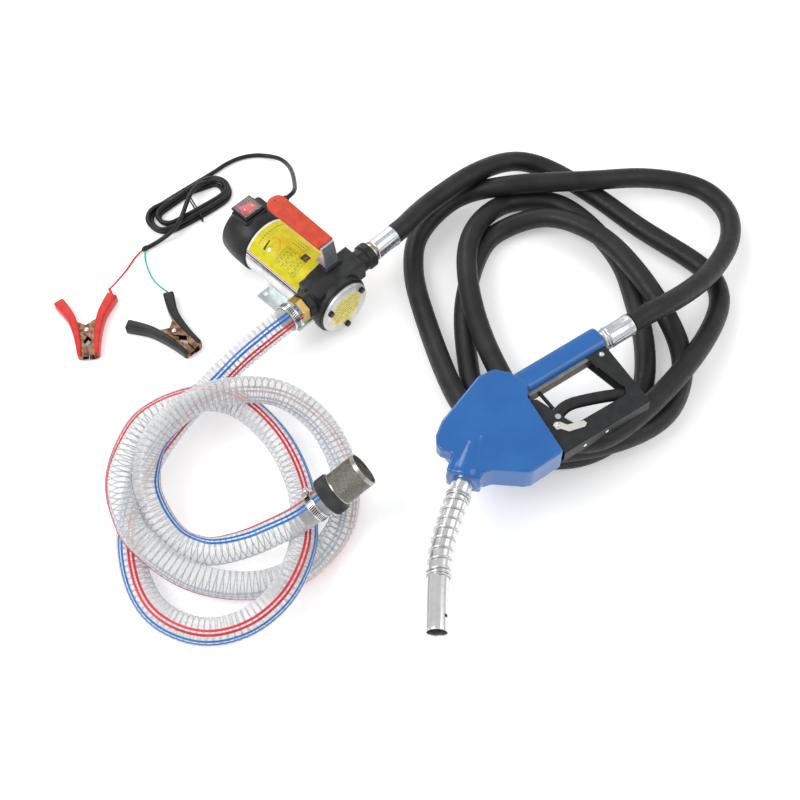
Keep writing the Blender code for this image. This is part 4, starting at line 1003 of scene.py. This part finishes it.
def handle():
    """The dipped sleeve: narrower towards the front, round at its rear end."""
    loops = []
    stations = [(-34.6, 10.6), (-34.2, 11.3), (-33.2, 11.6), (-15, 11.9), (20, 12.4), (50, 13)]
    stations += [(50 + 13 * math.sin(a), 13 * math.cos(a))
                 for a in (math.radians(d) for d in (12, 24, 36, 48, 60, 70, 78, 84, 88))]
    for y, half_width in stations:
        share = min(1.0, (y + 34.6) / 85)
        thick = 3.3 + 0.9 * share
        middle = 118.4 + 2.2 * share
        if y > 56:
            thick *= math.sqrt(max(0.12, 1 - ((y - 56) / 7.6) ** 2))
        edge = min(2.6, thick - 0.2, half_width * 0.8)
        loops.append([Vector((HANDLE_X + a, y, middle + b))
                      for a, b in round_box(half_width - edge, thick - edge, edge)])
    skin("handle_sleeve", loft(loops), "sleeve", sharp=60)
    # A dark dimple: painted shade inside the sleeve's vent hole
    dimple = shifted(ball(1.2, 0.4), HANDLE_X, 54.5, 124.5)
    piece("sleeve_vent_shade", dimple, "dark")


# ---------------- nozzle

HEAD_OUTLINE = [
    (0, -12), (-6, 12), (-20, 27), (-40, 29), (-88, 11.5), (-108, 4.4), (-124, -7), (-130.5, -17),
    (-130, -25), (-123, -34), (-121, -54), (-109, -75), (-98, -78), (-70, -101), (-63, -104),
    (-20.5, -103), (-10, -25),
]
SPOUT_ROUTE = [
    (-113, -52.5, 0), (-129, -65.3, 0), (-145, -78, 0), (-167, -94.4, 0), (-195, -118, 0),
    (-212.7, -138, 0), (-230, -160.5, 0), (-252.8, -191.3, 0),
]
LEVER_ROUTE = [
    (5, -61.5, 0), (8, -57.8, 0), (14.4, -54, 0), (23.7, -52, 0), (34, -53, 0), (46.4, -57, 0),
    (63.5, -63.6, 0), (82, -72, 0), (92, -76.3, 0),
]


def bar(points, across, height, sides):
    """An oval bar along a level path, with a rounded far end."""
    spots = frames_along(points)
    rows = [ring(point, side, up, across, height, sides)
            for point, (side, up) in zip(points, spots)]
    along = (points[-1] - points[-2]).normalized()
    for degrees in (30, 55, 75, 88):
        out, shrink = height * math.sin(math.radians(degrees)), math.cos(math.radians(degrees))
        rows.append(ring(points[-1] + along * out, *spots[-1], across * shrink, height * shrink, sides))
    return loft(rows)


def nozzle_cover():
    """The moulded cover: its head, barrel, spout neck and rib, melted into one."""
    front = prism(HEAD_OUTLINE[::-1], -18.3, 18.3)
    barrel = loft([[Vector((x, -2.1 + a, b)) for a, b in round_box(5.9, 5.8, corner)]
                   for x, corner in ((-20, 9), (110, 9), (112.6, 8.4), (113.4, 7.4))])
    start, end = Vector((-95, -38.2, 0)), Vector((-127.8, -64.4, 0))
    reach = (end - start).length
    neck = turned([(0, 0), (19.5, 0), (20.6, reach - 12), (20.8, reach - 6), (20.2, reach - 1),
                   (18.6, reach + 1), (12.2, reach + 1), (12.2, reach - 8), (0, reach - 8)], 64)
    neck = moved(neck, placed(*start) @ pointing(end - start))
    rib = moved(box((-2.2, -14, 17), (2.2, 15, 19.3)), placed(-93, -49, 0) @ spun(-45, "Z"))
    front = cut(front, box((-150, -46, -30), (-121.5, 20, -2)))
    flat_neck = rounded(prism([(-107.4, -22.7), (-140.2, -48.9), (-115.4, -79.9), (-82.6, -53.7)],
                              -17.2, 17.2), 3.0, 3)
    solid = melted(union(front, barrel, neck, flat_neck, rib), 1.1, 14)
    skin("nozzle_cover", solid, "blue", at=NOZZLE, sharp=80)
    washer = turned([(9, 113.3), (12.0, 113.3), (12.3, 113.9), (12.0, 114.6), (9, 114.6)], 64)
    piece("barrel_ring", washer, "brass", at=BARREL)


def nozzle():
    nozzle_cover()
    swivel = turned([(8, 114.8), (11.4, 114.8), (11.6, 115.4), (11.6, 117), (12.6, 117.8),
                     (12.8, 118.4), (12.8, 119.6), (12.4, 120), (8, 120)], 72)
    skin("nozzle_swivel", swivel, "zinc", at=BARREL)
    ferrule("nozzle_ferrule", 120.3, 36.7, BARREL)
    rivets = [shifted(ball(2.6, 0.5), 98, -24, 11.2)]
    rivets += [moved(ball(2.4, 0.4), placed(x, -103.6, 0) @ spun(90, "X")) for x in (43, 11.6)]
    piece("guard_rivets", merged(*rivets), "rivet", at=NOZZLE)
    route = smooth_route(LEVER_ROUTE, 2.5)
    eye = rounded(turned([(2.6, -5.6), (7.4, -5.6), (7.4, 5.6), (2.6, 5.6)], 40), 0.5, 2, 60)
    lever = merged(bar(route, 7.4, 5.6, 32), shifted(eye, 5.0, -61.5))
    skin("trigger_lever", lever, "lever", "lever", NOZZLE)
    piece("latch_rivet", shifted(ball(2.6, 0.5), -2.3, -70.5, 11.2), "rivet", "latch", NOZZLE)
    spout_and_spring()


def spout_and_spring():
    """The bent spout with two beads, and the spring wound around it, close at its ends."""
    fine = smooth_route(SPOUT_ROUTE, 1.0)
    spots = frames_along(fine)

    def loop_at(k, radius):
        return ring(fine[k], *spots[k], radius, radius, 64)

    last = len(fine) - 1
    rows = [loop_at(0, 10.6)]
    for k in range(0, last - 1, 3):
        bead = 0.35 * math.exp(-((k - 26) / 1.8) ** 2) + 0.35 * math.exp(-((k - 31) / 1.8) ** 2)
        rows.append(loop_at(k, 11.9 + bead))
    rows += [loop_at(last - 1, 11.9), loop_at(last, 11.6), loop_at(last, 10.9)]
    rows += [loop_at(k, 10.6) for k in range(last - 1, last - 40, -4)]
    rows.append(loop_at(last - 40, 0.5))
    skin("spout", loft(rows), "spout", at=NOZZLE, sharp=50)
    mouth = loft([loop_at(last - 22, 10.55), loop_at(last - 36, 10.55)])
    piece("spout_shadow", mouth, "dark", at=NOZZLE)
    # A dark disc: painted shade inside the hole near the spout's tip
    k = last - 16
    side, up = spots[k]
    hole = moved(turned([(0, 10.8), (1.9, 10.8), (1.9, 12.0), (0, 12.0)], 24),
                 placed(*fine[k]) @ pointing(side * 0.75 + up * 0.66))
    piece("spout_hole_shade", hole, "dark", at=NOZZLE)

    first, end, closed, pitch, ends = 36, 137, 2.55, 12.0, 1.8
    open_turns = (end - first - 2 * closed * ends) / pitch
    turns = open_turns + 2 * ends

    def on_spout(share):
        turn = turns * share
        early = min(turn, ends)
        late = max(0.0, turn - ends - open_turns)
        run = first + closed * (early + late) + pitch * (turn - early - late)
        k = min(int(run), last - 1)
        side, up = spots[k]
        return fine[k].lerp(fine[k + 1], run - k), side, up

    spring = coil(on_spout, turns, 13.4, 2.2, 10, 40)
    skin("spout_spring", spring, "spring", at=NOZZLE, sharp=70)


# ---------------- strainer

def strainer():
    """The knurled collar on its barb, and a round cage of rings and staves."""
    clamp("strainer_clamp", STRAINER @ placed(-19, 0, 0), 1, 125)
    along = STRAINER @ ALONG_X
    collar = turned([(7, 0), (20.5, 0), (22.2, 0.8), (23.3, 2.4), (23.3, 8), (23.3, 13.4), (22.2, 15),
                     (20.4, 16), (18.3, 16), (18.3, 4), (7, 4)], 240, 60, 0.9, (3, 4, 5))
    skin("strainer_collar", collar, "collar", at=along)
    profile = [(0, -34), (10, -34), (10.4, -33)]
    for k in range(4):
        low = -32 + 8 * k
        profile += [(11.4, low), (13.4, low + 6.4), (11.6, low + 7.2)]
    profile += [(11.6, 0.5), (0, 0.5)]
    piece("strainer_barb", turned(profile, 64), "cap", at=along)
    rings = []
    for k in range(22):
        z = 17 + k * 1.55
        rings.append(turned([(19.35 + 0.32 * math.cos(a), z + 0.32 * math.sin(a))
                             for a in (math.radians(d) for d in (0, 90, 180, 270))], 72))
    staves = []
    for k in range(76):
        a = 2 * math.pi * k / 76
        stave = turned([(0, 16.4), (0.34, 16.4), (0.34, 50.5), (0, 50.5)], 4)
        staves.append(shifted(stave, 19.55 * math.cos(a), 19.55 * math.sin(a)))
    rims = [turned([(18.6, low), (20.0, low), (20.0, high), (18.6, high)], 96)
            for low, high in ((16.3, 18.0), (49.6, 54))]
    skin("strainer_mesh", merged(*rings, *staves, *rims), "mesh", at=along)
    lining = turned([(18.3, 17), (18.9, 17), (18.9, 50), (18.3, 50)], 72)
    bottom = turned([(0, 16.6), (18.2, 16.6), (18.2, 17.2), (0, 17.2)], 48)
    piece("strainer_lining", merged(lining, bottom), "weave", at=along)


# ---------------- clips

GRIP_SPINE = [(-51, 34), (-38, 26.5), (-22, 18.6), (6, 12.6), (36.5, 10.6)]
GRIP_WIDTHS = [14, 13, 11, 8.6, 5.4]


def grip_width(x):
    """The grip's width at a place along its clip."""
    for (x0, _), (x1, _), w0, w1 in zip(GRIP_SPINE, GRIP_SPINE[1:], GRIP_WIDTHS, GRIP_WIDTHS[1:]):
        if x <= x1:
            return w0 + (w1 - w0) * max(0.0, (x - x0) / (x1 - x0))
    return GRIP_WIDTHS[-1]


def clips():
    """Dipped sleeves, rivets and springs: the jaws themselves are the CAD nodes."""
    for colour, home in CLIPS.items():
        for arm, side, body in (("fixed", 1, PUMP), ("moving", -1, f"{colour}_clip_arm")):
            spine = [Vector((*p, 0)) for p in GRIP_SPINE]
            route = [p.xy for p in smooth_route(spine, 4.0, 18)]
            outline = [(x, y * side)
                       for x, y in strip_outline(route, [grip_width(p.x) for p in route])]
            sleeve = rounded(prism(outline if side > 0 else outline[::-1], 0.3, 14.3), 2.4, 4, 50)
            skin(f"{colour}_clip_{arm}_sleeve", sleeve, f"grip_{colour}", body, home)
        piece(f"{colour}_clip_rivet", shifted(ball(3.1, 0.45), 0, 0, 13.6), "rivet", at=home)

        def at(share):
            return Vector((0, 0, 5.4 + 4.2 * share)), Vector((1, 0, 0)), Vector((0, 1, 0))

        spring = coil(at, 3, 2.8, 1.2, 8, 24)
        piece(f"{colour}_clip_spring", spring, "screw", at=home)
        nub = shifted(ball(2.6), -51.2, 34, 7)
        piece(f"{colour}_clip_nub", nub, f"grip_{colour}", at=home)


# ---------------- carried-over nodes

# The CAD nodes that stay as they are, by the look they get
KEPT = {
    "bezel": ["switch_bezel"], "steel": ["motor_shaft", "front_bearing", "pump_rotor"],
    "copper_wire": ["armature"], "ferrite": ["field_magnet"], "cap": ["brush_plate"],
    "head": ["pump_head"], "carbon": [f"vane_{k}" for k in (1, 2, 3, 4)],
    "brass": ["bypass_poppet", "bypass_plug", "inlet_barb"], "strap": ["handle_strap"],
    "rivet": ["handle_screw", "guard_screw", "lever_pin"], "foot": ["mounting_foot"],
    "casting": ["nozzle_body"], "guard": ["hand_guard"], "latch": ["lever_latch"],
    "lever": ["valve_stem"],
    "copper": [f"{clip}_clip_{arm}_jaw" for clip in CLIPS for arm in ("fixed", "moving")],
}


def dress_kept_nodes():
    for look, names in KEPT.items():
        for name in names:
            for slot in NODES[name].material_slots:
                slot.material = LOOKS[look]


LOOKS = make_looks()
stage_and_camera()
strainer()
clips()
delivery_hose()
suction_hose()
power_cable()
clip_wires()
hank_tie()
motor()
head()
fittings()
handle()
nozzle()
dress_kept_nodes()
